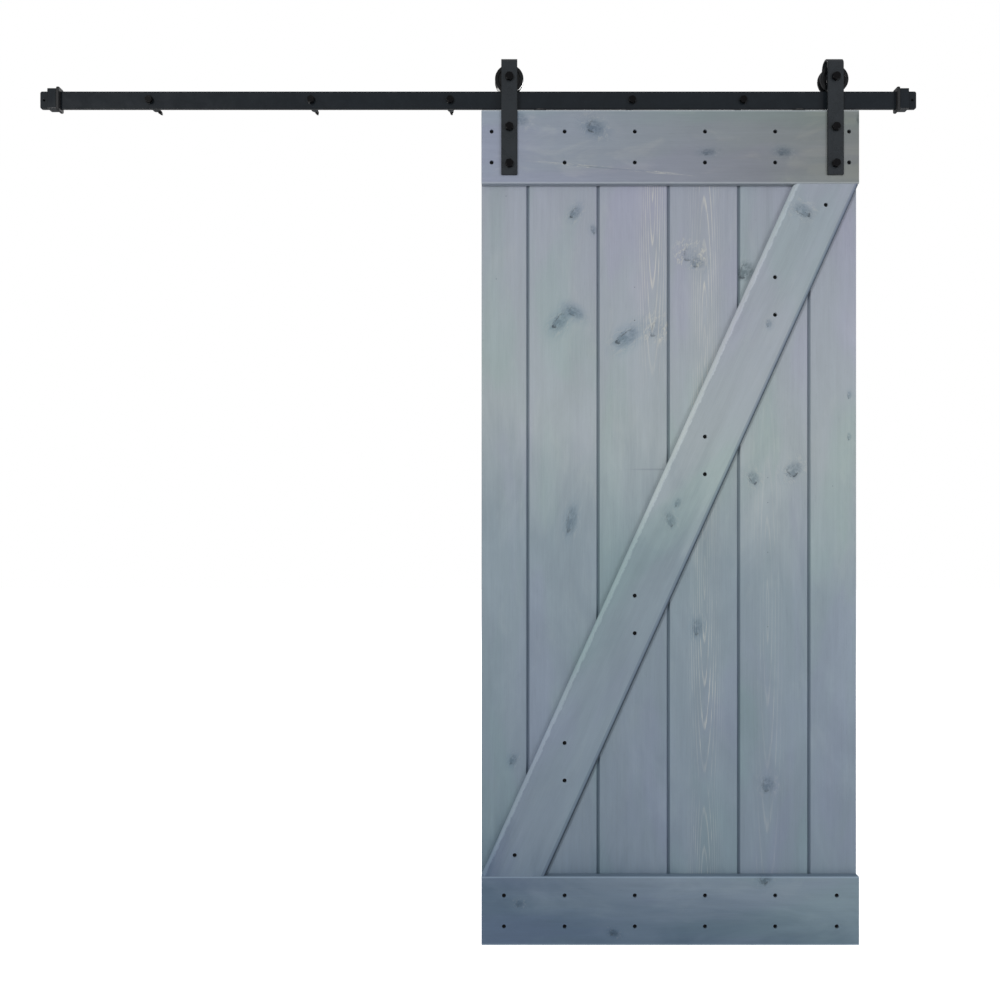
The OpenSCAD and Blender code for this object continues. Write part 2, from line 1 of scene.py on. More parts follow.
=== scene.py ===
import bpy
import bmesh
from math import atan2, cos, pi, radians, sin
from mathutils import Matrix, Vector


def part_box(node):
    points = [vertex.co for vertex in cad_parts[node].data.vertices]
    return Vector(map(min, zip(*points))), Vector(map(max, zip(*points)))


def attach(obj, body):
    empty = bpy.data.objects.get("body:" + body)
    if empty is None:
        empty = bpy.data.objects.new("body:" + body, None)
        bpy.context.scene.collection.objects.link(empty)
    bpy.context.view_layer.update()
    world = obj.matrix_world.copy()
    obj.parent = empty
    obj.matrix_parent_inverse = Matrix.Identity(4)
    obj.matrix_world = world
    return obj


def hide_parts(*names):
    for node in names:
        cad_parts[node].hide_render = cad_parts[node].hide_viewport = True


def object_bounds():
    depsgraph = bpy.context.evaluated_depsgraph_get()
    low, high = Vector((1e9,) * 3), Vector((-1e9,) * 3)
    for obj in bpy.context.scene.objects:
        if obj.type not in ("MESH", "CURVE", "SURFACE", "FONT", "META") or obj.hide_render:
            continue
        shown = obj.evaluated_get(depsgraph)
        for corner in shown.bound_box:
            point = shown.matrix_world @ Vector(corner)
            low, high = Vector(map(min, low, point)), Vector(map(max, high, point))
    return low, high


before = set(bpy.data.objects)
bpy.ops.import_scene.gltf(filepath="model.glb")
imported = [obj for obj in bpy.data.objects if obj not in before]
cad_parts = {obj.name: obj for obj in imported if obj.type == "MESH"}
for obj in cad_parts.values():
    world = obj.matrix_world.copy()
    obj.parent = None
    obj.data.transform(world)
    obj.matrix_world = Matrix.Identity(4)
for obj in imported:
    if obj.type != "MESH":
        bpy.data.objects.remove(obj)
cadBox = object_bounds()
print("frame loaded:", len(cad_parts), "CAD nodes")

left, right = "left", "right"


def deselectAll():
    if bpy.context.object and bpy.context.object.mode != "OBJECT":
        bpy.ops.object.mode_set(mode="OBJECT")
    bpy.ops.object.select_all(action="DESELECT")


def takePiece(piece):
    deselectAll()
    piece.select_set(True)
    bpy.context.view_layer.objects.active = piece


def openPiece(piece, kind):
    takePiece(piece)
    bpy.ops.object.mode_set(mode="EDIT")
    bpy.ops.mesh.select_mode(type=kind)
    bpy.ops.mesh.select_all(action="DESELECT")


def closePiece():
    bpy.ops.object.mode_set(mode="OBJECT")


def pickFaces(piece, test):
    mesh = bmesh.from_edit_mesh(piece.data)
    for face in mesh.faces:
        face.select_set(test(face))
    bmesh.update_edit_mesh(piece.data)


def pickEdges(piece, test):
    mesh = bmesh.from_edit_mesh(piece.data)
    for edge in mesh.edges:
        edge.select_set(test(edge))
    bmesh.update_edit_mesh(piece.data)


def edgeAlong(edge, axis):
    a, b = edge.verts[0].co, edge.verts[1].co
    return abs((b - a).normalized()[axis]) > 0.999


def fixPlace(piece):
    takePiece(piece)
    bpy.ops.object.transform_apply(location=True, rotation=True, scale=True)


def addBlock(name, low, high):
    deselectAll()
    middle = [(a + b) / 2 for a, b in zip(low, high)]
    size = [b - a for a, b in zip(low, high)]
    bpy.ops.mesh.primitive_cube_add(size=1, location=middle, scale=size)
    piece = bpy.context.object
    piece.name = name
    fixPlace(piece)
    return piece


def addRod(name, radius, start, length, sides=48, turn=0.0):
    # a cylinder from start along +Y; turn spins it about its own axis
    deselectAll()
    middle = (start[0], start[1] + length / 2, start[2])
    bpy.ops.mesh.primitive_cylinder_add(vertices=sides, radius=radius, depth=length,
                                        location=middle, rotation=(radians(90), turn, 0))
    piece = bpy.context.object
    piece.name = name
    fixPlace(piece)
    return piece


def drawOutline(name, points, closed=True):
    # a vertex walked from point to point; each point is (x, y, z)
    deselectAll()
    bpy.ops.mesh.primitive_plane_add(size=0.001, location=(0, 0, 0))
    piece = bpy.context.object
    piece.name = name
    openPiece(piece, "VERT")
    bpy.ops.mesh.select_all(action="SELECT")
    bpy.ops.mesh.merge(type="CENTER")
    bpy.ops.transform.translate(value=points[0])
    walk = list(points[1:]) + ([points[0]] if closed else [])
    here = Vector(points[0])
    for point in walk:
        bpy.ops.mesh.extrude_region_move(TRANSFORM_OT_translate={"value": Vector(point) - here})
        here = Vector(point)
    bpy.ops.mesh.select_all(action="SELECT")
    bpy.ops.mesh.remove_doubles(threshold=1e-6)
    return piece


def turnPiece(name, section, centre, axis="Y", closed=True, steps=96):
    # section points are (radius, distance along the axis); the outline is spun once round
    if axis == "Y":
        points = [(centre[0] + r, centre[1] + d, centre[2]) for r, d in section]
        about = (0, 1, 0)
    else:
        points = [(centre[0] + r, centre[1], centre[2] + d) for r, d in section]
        about = (0, 0, 1)
    piece = drawOutline(name, points, closed)
    bpy.ops.mesh.select_all(action="SELECT")
    bpy.ops.mesh.spin(steps=steps, angle=radians(360), center=centre, axis=about)
    bpy.ops.mesh.select_all(action="SELECT")
    bpy.ops.mesh.remove_doubles(threshold=1e-6)
    bpy.ops.mesh.normals_make_consistent(inside=False)
    closePiece()
    return piece


def cutAway(piece, cutter, operation="DIFFERENCE"):
    takePiece(piece)
    cut = piece.modifiers.new("cut", "BOOLEAN")
    cut.operation = operation
    cut.object = cutter
    cut.solver = "EXACT"
    bpy.ops.object.modifier_apply(modifier=cut.name)
    bpy.data.objects.remove(cutter)


def cleanPiece(piece):
    # merges what a cut leaves on top of itself
    openPiece(piece, "VERT")
    bpy.ops.mesh.select_all(action="SELECT")
    bpy.ops.mesh.remove_doubles(threshold=2e-5)
    bpy.ops.mesh.dissolve_limited(angle_limit=radians(0.5))
    closePiece()


def roundEdges(piece, width, segments=2, angle=30):
    takePiece(piece)
    bevel = piece.modifiers.new("round", "BEVEL")
    bevel.width = width
    bevel.segments = segments
    bevel.limit_method = "ANGLE"
    bevel.angle_limit = radians(angle)
    bevel.use_clamp_overlap = True
    bpy.ops.object.modifier_apply(modifier=bevel.name)


def smoothPiece(piece, angle=32):
    takePiece(piece)
    bpy.ops.object.shade_smooth_by_angle(angle=radians(angle))
    bpy.ops.object.modifier_add(type="WEIGHTED_NORMAL")  # keeps the large faces flat between rounded edges
    weigh = piece.modifiers[-1]
    weigh.keep_sharp = True
    bpy.ops.object.modifier_apply(modifier=weigh.name)


def joinPieces(name, pieces):
    deselectAll()
    for piece in pieces:
        piece.select_set(True)
    bpy.context.view_layer.objects.active = pieces[0]
    bpy.ops.object.join()
    bpy.context.object.name = name
    return bpy.context.object


def copyTo(piece, name, place, turn=0.0):
    # a copy with its own mesh, turned about the Y axis and then moved into place
    takePiece(piece)
    bpy.ops.object.duplicate(linked=False)
    double = bpy.context.object
    double.name = name
    double.rotation_euler = (0, turn, 0)
    double.location = place
    fixPlace(double)
    return double


def settle(piece, body, slot, material, *nodes):
    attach(piece, body)
    if nodes:
        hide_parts(*nodes)
    piece.data.materials.clear()
    piece.data.materials.append(material)


def addNode(tree, kind, feeds=None, **settings):
    node = tree.nodes.new("ShaderNode" + kind)
    for name, value in settings.items():
        setattr(node, name, value)
    for socket, value in (feeds or {}).items():
        if isinstance(value, bpy.types.NodeSocket):
            tree.links.new(value, node.inputs[socket])
        else:
            node.inputs[socket].default_value = value
    return node


def calc(tree, operation, a, b=0.0, c=0.0, clamp=False):
    node = addNode(tree, "Math", {0: a, 1: b, 2: c}, operation=operation, use_clamp=clamp)
    return node.outputs[0]


def spread(tree, value, low, high, newLow=0.0, newHigh=1.0, smooth=True):
    node = addNode(tree, "MapRange", {"Value": value, "From Min": low, "From Max": high,
                                      "To Min": newLow, "To Max": newHigh},
                   interpolation_type="SMOOTHSTEP" if smooth else "LINEAR")
    return node.outputs[0]


def mixColour(tree, amount, a, b, how="MIX"):
    node = addNode(tree, "Mix", {0: amount, 6: a, 7: b}, data_type="RGBA", blend_type=how)
    return node.outputs[2]


def noise(tree, vector, scale, detail=3.0, rough=0.55, warp=0.0):
    node = addNode(tree, "TexNoise", {"Vector": vector, "Scale": scale, "Detail": detail,
                                      "Roughness": rough, "Distortion": warp})
    return node.outputs["Fac"]


def mapped(tree, vector, location=(0, 0, 0), turn=(0, 0, 0), scale=(1, 1, 1), kind="POINT"):
    node = addNode(tree, "Mapping", {"Vector": vector, "Location": location,
                                     "Rotation": turn, "Scale": scale}, vector_type=kind)
    return node.outputs[0]


def newGroup(name, takes, gives):
    group = bpy.data.node_groups.new(name, "ShaderNodeTree")
    for label, kind, value in takes:
        socket = group.interface.new_socket(label, in_out="INPUT", socket_type="NodeSocket" + kind)
        if value is not None:
            socket.default_value = value
    for label, kind in gives:
        group.interface.new_socket(label, in_out="OUTPUT", socket_type="NodeSocket" + kind)
    source = group.nodes.new("NodeGroupInput")
    sink = group.nodes.new("NodeGroupOutput")
    return group, source.outputs, sink.inputs


def useGroup(tree, group, feeds):
    node = tree.nodes.new("ShaderNodeGroup")
    node.node_tree = group
    for label, value in feeds.items():
        if isinstance(value, bpy.types.NodeSocket):
            tree.links.new(value, node.inputs[label])
        else:
            node.inputs[label].default_value = value
    return node.outputs


def newMaterial(name):
    material = bpy.data.materials.new(name)
    material.use_nodes = True
    tree = material.node_tree
    tree.nodes.clear()
    shader = tree.nodes.new("ShaderNodeBsdfPrincipled")
    out = tree.nodes.new("ShaderNodeOutputMaterial")
    tree.links.new(shader.outputs[0], out.inputs[0])
    place = tree.nodes.new("ShaderNodeTexCoord").outputs["Object"]
    return material, tree, shader, place


def shade(red, green, blue):
    # screen colour, 0 to 255, as the renderer's linear colour
    values = []
    for part in (red, green, blue):
        part = part / 255
        values.append(part / 12.92 if part <= 0.04045 else ((part + 0.055) / 1.055) ** 2.4)
    return (*values, 1.0)


def makeEdgeGroup():
    # where a surface turns sharply, broken up by noise
    group, takes, gives = newGroup("edgeMask", [("Vector", "Vector", None), ("Width", "Float", 0.001),
                                                ("Breakup", "Float", 300.0)],
                                   [("Mask", "Float"), ("Soft", "Float")])
    tree = group
    rounded = addNode(tree, "Bevel", {"Radius": takes["Width"]}, samples=4).outputs[0]
    flat = addNode(tree, "NewGeometry").outputs["Normal"]
    facing = addNode(tree, "VectorMath", {0: rounded, 1: flat}, operation="DOT_PRODUCT").outputs["Value"]
    edge = spread(tree, facing, 0.995, 0.86)
    patches = noise(tree, takes["Vector"], takes["Breakup"], 4.0, 0.7)
    wearShadeAndSheen = calc(tree, "MULTIPLY", edge, spread(tree, patches, 0.46, 0.62))
    tree.links.new(wearShadeAndSheen, gives["Mask"])
    tree.links.new(edge, gives["Soft"])
    return group


def makeCoatGroup():
    # fine texture of a sprayed or plated skin: value noise, height and roughness drift
    group, takes, gives = newGroup("coatSkin", [("Vector", "Vector", None), ("Grain", "Float", 2500.0)],
                                   [("Height", "Float"), ("Drift", "Float"), ("Dust", "Float")])
    tree = group
    grain = noise(tree, takes["Vector"], takes["Grain"], 2.0, 0.6)
    peel = noise(tree, takes["Vector"], 420.0, 2.0, 0.5)
    height = calc(tree, "MULTIPLY_ADD", peel, 0.6, calc(tree, "MULTIPLY", grain, 0.4))
    drift = noise(tree, takes["Vector"], 28.0, 4.0, 0.6, 0.6)
    dust = spread(tree, noise(tree, takes["Vector"], 90.0, 5.0, 0.7, 0.3), 0.52, 0.8)
    tree.links.new(height, gives["Height"])
    tree.links.new(drift, gives["Drift"])
    tree.links.new(dust, gives["Dust"])
    return group


def makeFibreGroup():
    # stained wood with its grain along Z: soft bands, fine fibres and short pores
    group, takes, gives = newGroup("woodFibres", [("Vector", "Vector", None), ("Seed", "Vector", None)],
                                   [("Bands", "Float"), ("Fibres", "Float"), ("Pores", "Float"),
                                    ("Blush", "Float"), ("Height", "Float")])
    tree = group
    shifted = addNode(tree, "VectorMath", {0: takes["Vector"], 1: takes["Seed"]}, operation="ADD").outputs[0]
    bands = noise(tree, mapped(tree, shifted, scale=(1, 1, 0.035)), 62.0, 3.0, 0.5, 0.4)
    fibres = noise(tree, mapped(tree, shifted, scale=(1, 1, 0.022)), 520.0, 3.0, 0.65)
    pores = spread(tree, noise(tree, mapped(tree, shifted, scale=(1, 1, 0.05)), 900.0, 2.0, 0.5), 0.62, 0.75)
    blush = noise(tree, mapped(tree, shifted, scale=(1, 1, 0.35)), 7.0, 4.0, 0.6, 0.8)
    height = calc(tree, "MULTIPLY_ADD", fibres, 0.7, calc(tree, "MULTIPLY", pores, -0.6))
    for socket, label in ((bands, "Bands"), (fibres, "Fibres"), (pores, "Pores"),
                          (blush, "Blush"), (height, "Height")):
        tree.links.new(socket, gives[label])
    return group


def makeKnotGroup():
    # a knot in unit space: torn patch, a dark crescent on one side, pale flecks and black specks
    group, takes, gives = newGroup("woodKnot", [("Vector", "Vector", None), ("Shape", "Float", 0.25)],
                                   [("Body", "Float"), ("Rim", "Float"), ("Halo", "Float"), ("Pale", "Float"),
                                    ("Specks", "Float")])
    tree = group
    ragged = addNode(tree, "TexNoise", {"Vector": takes["Vector"], "Scale": 0.9, "Detail": 6.0,
                                        "Roughness": 0.68}).outputs["Color"]
    centred = addNode(tree, "VectorMath", {0: ragged, 1: (0.5, 0.5, 0.5)}, operation="SUBTRACT").outputs[0]
    push = addNode(tree, "VectorMath", {0: centred, "Scale": takes["Shape"]}, operation="SCALE").outputs[0]
    bent = addNode(tree, "VectorMath", {0: takes["Vector"], 1: push}, operation="ADD").outputs[0]
    flat = addNode(tree, "VectorMath", {0: bent, 1: (1, 0, 1)}, operation="MULTIPLY").outputs[0]
    far = addNode(tree, "VectorMath", {0: flat}, operation="LENGTH").outputs["Value"]
    patches = noise(tree, takes["Vector"], 1.7, 5.0, 0.65)
    body = calc(tree, "MULTIPLY", spread(tree, far, 1.15, 0.3), spread(tree, patches, 0.36, 0.6, 0.1, 1.0))
    places = addNode(tree, "SeparateXYZ", {0: bent}).outputs
    inside = calc(tree, "SUBTRACT", spread(tree, far, 0.72, 0.6), spread(tree, far, 0.58, 0.38))
    corner = calc(tree, "ADD", places[0], places[2])
    rim = calc(tree, "MULTIPLY", calc(tree, "MULTIPLY", inside, spread(tree, corner, 0.1, -0.5)),
               spread(tree, noise(tree, takes["Vector"], 2.6, 2.0), 0.36, 0.55))
    halo = spread(tree, far, 2.2, 0.6)
    ring = calc(tree, "MULTIPLY", spread(tree, far, 1.9, 1.1), spread(tree, far, 0.45, 0.8))
    flecks = noise(tree, mapped(tree, takes["Vector"], scale=(1, 1, 0.45)), 4.2, 4.0, 0.6, 1.4)
    light = calc(tree, "MULTIPLY", ring, spread(tree, flecks, 0.5, 0.62))
    dots = addNode(tree, "TexVoronoi", {"Vector": takes["Vector"], "Scale": 3.4}).outputs["Distance"]
    specks = calc(tree, "MULTIPLY", spread(tree, dots, 0.16, 0.06),
                  calc(tree, "MULTIPLY", spread(tree, far, 1.3, 1.0), spread(tree, patches, 0.46, 0.56)))
    for socket, label in ((body, "Body"), (rim, "Rim"), (halo, "Halo"), (light, "Pale"), (specks, "Specks")):
        tree.links.new(socket, gives[label])
    return group


def makeRingGroup():
    # pale growth lines in long pointed loops; the vector is centred on the loops' tip line
    group, takes, gives = newGroup("paleLoops", [("Vector", "Vector", None), ("Spacing", "Float", 0.007),
                                                 ("Wander", "Float", 0.004)],
                                   [("Lines", "Float")])
    tree = group
    drift = noise(tree, mapped(tree, takes["Vector"], scale=(1, 1, 0.3)), 22.0, 2.0, 0.5)
    sway = calc(tree, "MULTIPLY", calc(tree, "SUBTRACT", drift, 0.5), takes["Wander"])
    parts = addNode(tree, "SeparateXYZ", {0: takes["Vector"]}).outputs
    across = calc(tree, "ADD", parts[0], sway)
    far = calc(tree, "SQRT", calc(tree, "ADD", calc(tree, "MULTIPLY", across, across),
                                  calc(tree, "MULTIPLY", parts[2], parts[2])))
    phase = calc(tree, "FRACT", calc(tree, "DIVIDE", calc(tree, "ADD", far, sway), takes["Spacing"]))
    line = calc(tree, "SUBTRACT", spread(tree, phase, 0.30, 0.48), spread(tree, phase, 0.52, 0.62))
    tree.links.new(line, gives["Lines"])
    return group


edgeGroup = makeEdgeGroup()
coatGroup = makeCoatGroup()
fibreGroup = makeFibreGroup()
knotGroup = makeKnotGroup()
ringGroup = makeRingGroup()


def makeCoat(name, base, wearShadeAndSheen, roughness, grain=2500.0, bump=0.02, metallic=0.0, wearWidth=0.0012,
             wearAmount=0.5, dust=0.25, coat=0.0, gloss=0.4, paintedEdgeShade=0.0):
    material, tree, shader, place = newMaterial(name)
    skin = useGroup(tree, coatGroup, {"Vector": place, "Grain": grain})
    edges = useGroup(tree, edgeGroup, {"Vector": place, "Width": wearWidth, "Breakup": 320.0})
    toned = mixColour(tree, spread(tree, skin["Drift"], 0.3, 0.7, 0.0, 0.5), base,
                      [part * 1.3 for part in base[:3]] + [1.0])
    dusted = mixColour(tree, calc(tree, "MULTIPLY", skin["Dust"], dust), toned, wearShadeAndSheen)
    colour = mixColour(tree, calc(tree, "MULTIPLY", edges["Mask"], wearAmount), dusted, wearShadeAndSheen)
    # nearly black painted shade along every edge
    if paintedEdgeShade:
        colour = mixColour(tree, calc(tree, "MULTIPLY", edges["Soft"], paintedEdgeShade), colour, shade(7, 8, 9))
    rough = calc(tree, "ADD", calc(tree, "MULTIPLY_ADD", skin["Drift"], 0.16, roughness - 0.08),
                 calc(tree, "MULTIPLY", skin["Dust"], 0.04), clamp=True)
    tree.links.new(colour, shader.inputs["Base Color"])
    tree.links.new(rough, shader.inputs["Roughness"])
    shader.inputs["Metallic"].default_value = metallic
    shader.inputs["Specular IOR Level"].default_value = gloss
    shader.inputs["Coat Weight"].default_value = coat
    shader.inputs["Coat Roughness"].default_value = 0.08
    normal = addNode(tree, "Bump", {"Height": skin["Height"], "Strength": bump * 10, "Distance": 0.0001})
    tree.links.new(normal.outputs[0], shader.inputs["Normal"])
    return material


# the track and the hangers get a nearly black edge and dust tone: along their edges it is painted shade, on the
# faces dark dust
trackFinish = makeCoat("satinBlackTrack", shade(26, 31, 36), shade(8, 9, 10), 0.22, wearWidth=0.0035,
                       wearAmount=0.3, dust=0.12, gloss=0.25, paintedEdgeShade=0.8)
hangerFinish = makeCoat("satinBlackHanger", shade(38, 42, 46), shade(10, 11, 13), 0.28, wearWidth=0.0035,
                        wearAmount=0.3, dust=0.3, gloss=0.35, paintedEdgeShade=0.8)
# the wheel's pale edge tone is a painted highlight along its rims, broken up like wear
wheelFinish = makeCoat("glossBlackWheel", shade(12, 13, 15), shade(84, 92, 100), 0.16, bump=0.01,
                       wearWidth=0.002, wearAmount=0.3, dust=0.08, coat=0.2, gloss=0.3)
boltFinish = makeCoat("blackOxideBolt", shade(9, 9, 11), shade(46, 47, 50), 0.36, wearWidth=0.0005, dust=0.1,
                      gloss=0.12)
screwFinish = makeCoat("blackOxideScrew", shade(8, 9, 11), shade(30, 32, 35), 0.5, wearWidth=0.0003, dust=0.1,
                       gloss=0.15)
rubberFinish = makeCoat("stopRubber", shade(28, 29, 31), shade(60, 60, 62), 0.6, grain=1400.0, bump=0.04,
                        wearAmount=0.2)
nylonFinish = makeCoat("discNylon", shade(30, 30, 32), shade(70, 70, 72), 0.5, grain=1800.0, bump=0.02,
                       wearAmount=0.2)
zincFinish = makeCoat("zincPlate", shade(176, 178, 182), shade(214, 214, 216), 0.36, metallic=1.0, dust=0.5)
bearingFinish = makeCoat("bearingSteel", shade(190, 191, 193), shade(224, 224, 226), 0.18, metallic=1.0,
                         dust=0.1)
brassFinish = makeCoat("cageBrass", shade(190, 150, 84), shade(226, 196, 130), 0.3, metallic=1.0, dust=0.2)
shieldFinish = makeCoat("darkShield", shade(58, 58, 62), shade(110, 110, 112), 0.4, metallic=0.8)
print("metal finishes made")


doorLow = Vector([min(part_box(n)[0][i] for n in ("plank_1", "plank_6", "top_board")) for i in range(3)])
doorHigh = Vector([max(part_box(n)[1][i] for n in ("plank_1", "plank_6", "top_board")) for i in range(3)])


def markSpot(node, across, down):
    low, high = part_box(node)
    return (low[0] + across * (high[0] - low[0]), 0, doorHigh.z - down * (doorHigh.z - doorLow.z))


# one stain for the whole door with painted light and shade in it, as (height from 0 to 1, colour): darker
# towards the foot and palest a little above the middle, partly the stain and partly painted shade and light; it
# is a little paler to the right
doorStainAndShade = {"tones": [(0.0, (80, 100, 120)), (0.1, (115, 130, 145)), (0.45, (130, 145, 155)),
                   (0.6, (155, 165, 170)), (1.0, (145, 150, 165))], "aside": 0.1, "wander": 0.16}
loopSquash = 0.05  # how much a growth loop is narrower than long


def makeWood(name, look, node):
    material, tree, shader, place = newMaterial(name)
    turn = look.get("turn", 0.0)
    grained = mapped(tree, place, turn=(0, turn, 0))
    knots = []
    bend = None
    for across, down, wide, tall, lean, kind in look.get("knots", []):
        spot = markSpot(node, across, down)
        local = mapped(tree, place, location=spot, turn=(0, radians(lean), 0),
                       scale=(wide / 2000, 1, tall / 2000), kind="TEXTURE")
        knot = useGroup(tree, knotGroup, {"Vector": local, "Shape": 0.12 if kind in ("dot", "line") else 1.1})
        knots.append((knot, kind))
        if kind not in ("dot", "line"):
            across = addNode(tree, "SeparateXYZ", {0: local}).outputs[0]
            push = calc(tree, "MULTIPLY", calc(tree, "MULTIPLY", across, knot["Halo"]), -0.35 * wide / 2000)
            bend = push if bend is None else calc(tree, "ADD", bend, push)
    if bend is not None:
        offset = addNode(tree, "CombineXYZ", {0: bend}).outputs[0]
        grained = addNode(tree, "VectorMath", {0: grained, 1: offset}, operation="ADD").outputs[0]
    fibre = useGroup(tree, fibreGroup, {"Vector": grained, "Seed": look.get("seed", (0, 0, 0))})

    # the tones lie darker towards the foot, partly the stain and partly painted shade; a board with its own end
    # tones fades from left to right
    spots = addNode(tree, "SeparateXYZ", {0: place}).outputs
    level = spread(tree, spots[0], doorLow.x, doorHigh.x, smooth=False)
    if "ends" not in look:
        upward = spread(tree, spots[2], doorLow.z, doorHigh.z, smooth=False)
        level = calc(tree, "ADD", upward, calc(tree, "MULTIPLY_ADD", level, doorStainAndShade["aside"],
                                               -doorStainAndShade["aside"] / 2))
    level = calc(tree, "ADD", level,
                 calc(tree, "MULTIPLY_ADD", fibre["Blush"], doorStainAndShade["wander"], -doorStainAndShade["wander"] / 2))
    ramp = addNode(tree, "ValToRGB", {0: level})
    points = ramp.color_ramp.elements
    for index, (stop, tone) in enumerate(look.get("ends", doorStainAndShade["tones"])):
        point = points[index] if index < 2 else points.new(stop)
        point.position = stop
        point.color = shade(*tone)
    colour = ramp.outputs[0]

    # slow drift between blue, purple grey and green grey
    hue = noise(tree, mapped(tree, grained, location=look.get("seed", (0, 0, 0)), scale=(1, 1, 0.3)),
                5.0, 3.0, 0.5, 0.5)
    colour = mixColour(tree, spread(tree, hue, 0.5, 0.66, 0.0, 0.6), colour, (0.90, 1.02, 0.93, 1),
                       "MULTIPLY")
    colour = mixColour(tree, spread(tree, hue, 0.47, 0.34, 0.0, 0.6), colour, (1.01, 0.95, 1.05, 1),
                       "MULTIPLY")
    strength = look.get("fibre", 1.0)
    light = calc(tree, "MULTIPLY_ADD", calc(tree, "SUBTRACT", fibre["Bands"], 0.5), 0.16 * strength, 1.0)
    light = calc(tree, "MULTIPLY_ADD", calc(tree, "SUBTRACT", fibre["Fibres"], 0.5), 0.2 * strength, light)
    light = calc(tree, "MULTIPLY_ADD", calc(tree, "SUBTRACT", fibre["Blush"], 0.5), 0.34, light)
    light = calc(tree, "MULTIPLY_ADD", fibre["Pores"], -0.08 * strength, light)
    tone = addNode(tree, "CombineColor", {0: light, 1: light, 2: light}).outputs[0]
    colour = mixColour(tree, 1.0, colour, tone, "MULTIPLY")

    # brushed patches where the stain lies thinner
    cloud = noise(tree, mapped(tree, grained, location=look.get("seed", (0, 0, 0)), scale=(1, 1, 0.4)),
                  14.0, 5.0, 0.6, 0.9)
    thin = calc(tree, "MULTIPLY", spread(tree, cloud, 0.5, 0.68), look.get("cloud", 0.3))
    colour = mixColour(tree, thin, colour, (1.16, 1.13, 1.07, 1), "MULTIPLY")

    # pale growth lines
    for across, down, spacing, reach, amount in look.get("loops", []):
        local = mapped(tree, place, location=markSpot(node, across, down), turn=(0, turn, 0),
                       scale=(1, 1, 1 / loopSquash), kind="TEXTURE")
        lines = useGroup(tree, ringGroup, {"Vector": local, "Spacing": spacing / 1000,
                                           "Wander": 0.006})["Lines"]
        apart = addNode(tree, "SeparateXYZ", {0: local}).outputs
        limit = reach / 1000 * loopSquash
        near = calc(tree, "MULTIPLY", spread(tree, calc(tree, "ABSOLUTE", apart[0]), 0.055, 0.012),
                    spread(tree, calc(tree, "ABSOLUTE", apart[2]), limit, limit * 0.5))
        broken = calc(tree, "MULTIPLY", spread(tree, fibre["Blush"], 0.38, 0.6, 0.25, 1.0),
                      spread(tree, fibre["Fibres"], 0.38, 0.56, 0.15, 1.0))
        mask = calc(tree, "MULTIPLY", calc(tree, "MULTIPLY", lines, near),
                    calc(tree, "MULTIPLY", broken, amount))
        colour = mixColour(tree, calc(tree, "MULTIPLY", near, 0.3 * amount), colour, (1.04, 1.02, 0.97, 1),
                           "MULTIPLY")
        colour = mixColour(tree, mask, colour, shade(194, 193, 186))

    # knots
    for knot, kind in knots:
        if kind == "dot":
            colour = mixColour(tree, knot["Body"], colour, shade(30, 33, 36))
            continue
        if kind == "line":
            colour = mixColour(tree, calc(tree, "MULTIPLY", knot["Halo"], 0.3), colour, shade(104, 112, 122))
            continue
        body, halo, rim, pale, specks = {
            "knot": (0.8, 0.35, 1.0, 0.22, 0.9), "smear": (0.75, 0.35, 0.6, 0.12, 0.5),
            "pale": (0.25, 0.05, 0.6, 0.8, 0.2), "dark": (0.85, 0.4, 1.0, 0.1, 0.4)}[kind]
        soft = calc(tree, "MULTIPLY", knot["Halo"], spread(tree, fibre["Blush"], 0.4, 0.6))
        colour = mixColour(tree, calc(tree, "MULTIPLY", soft, min(1.0, halo * 2)), colour,
                           (0.72, 0.8, 0.86, 1), "MULTIPLY")
        colour = mixColour(tree, calc(tree, "MULTIPLY", knot["Pale"], pale), colour, shade(184, 184, 178))
        colour = mixColour(tree, calc(tree, "MULTIPLY", knot["Body"], body), colour,
                           (0.46, 0.54, 0.6, 1) if kind != "dark" else (0.34, 0.4, 0.42, 1), "MULTIPLY")
        colour = mixColour(tree, calc(tree, "MULTIPLY", knot["Rim"], rim), colour, shade(66, 76, 84))
        colour = mixColour(tree, calc(tree, "MULTIPLY", knot["Specks"], specks), colour, shade(44, 50, 56))

    # faces turned away from the front are darkened, which darkens the joints and chamfers; further down, the
    # stain thins out on sharp corners
    facing = addNode(tree, "SeparateXYZ", {0: addNode(tree, "TexCoord").outputs["Normal"]}).outputs[1]
    slope = spread(tree, calc(tree, "ABSOLUTE", facing), 0.97, 0.75)
    colour = mixColour(tree, calc(tree, "MULTIPLY", slope, look.get("joint", 0.85)), colour,
                       (0.50, 0.55, 0.60, 1), "MULTIPLY")
    # painted highlight on faces turned to the left, painted shade on faces turned to the right
    if "lit" in look:
        leftward = addNode(tree, "SeparateXYZ", {0: addNode(tree, "TexCoord").outputs["Normal"]}).outputs[0]
        colour = mixColour(tree, spread(tree, leftward, -0.3, -0.6, 0.0, look["lit"]), colour,
                           (1.3, 1.28, 1.24, 1), "MULTIPLY")
        colour = mixColour(tree, spread(tree, leftward, 0.3, 0.6, 0.0, 0.9), colour, (0.6, 0.66, 0.74, 1),
                           "MULTIPLY")
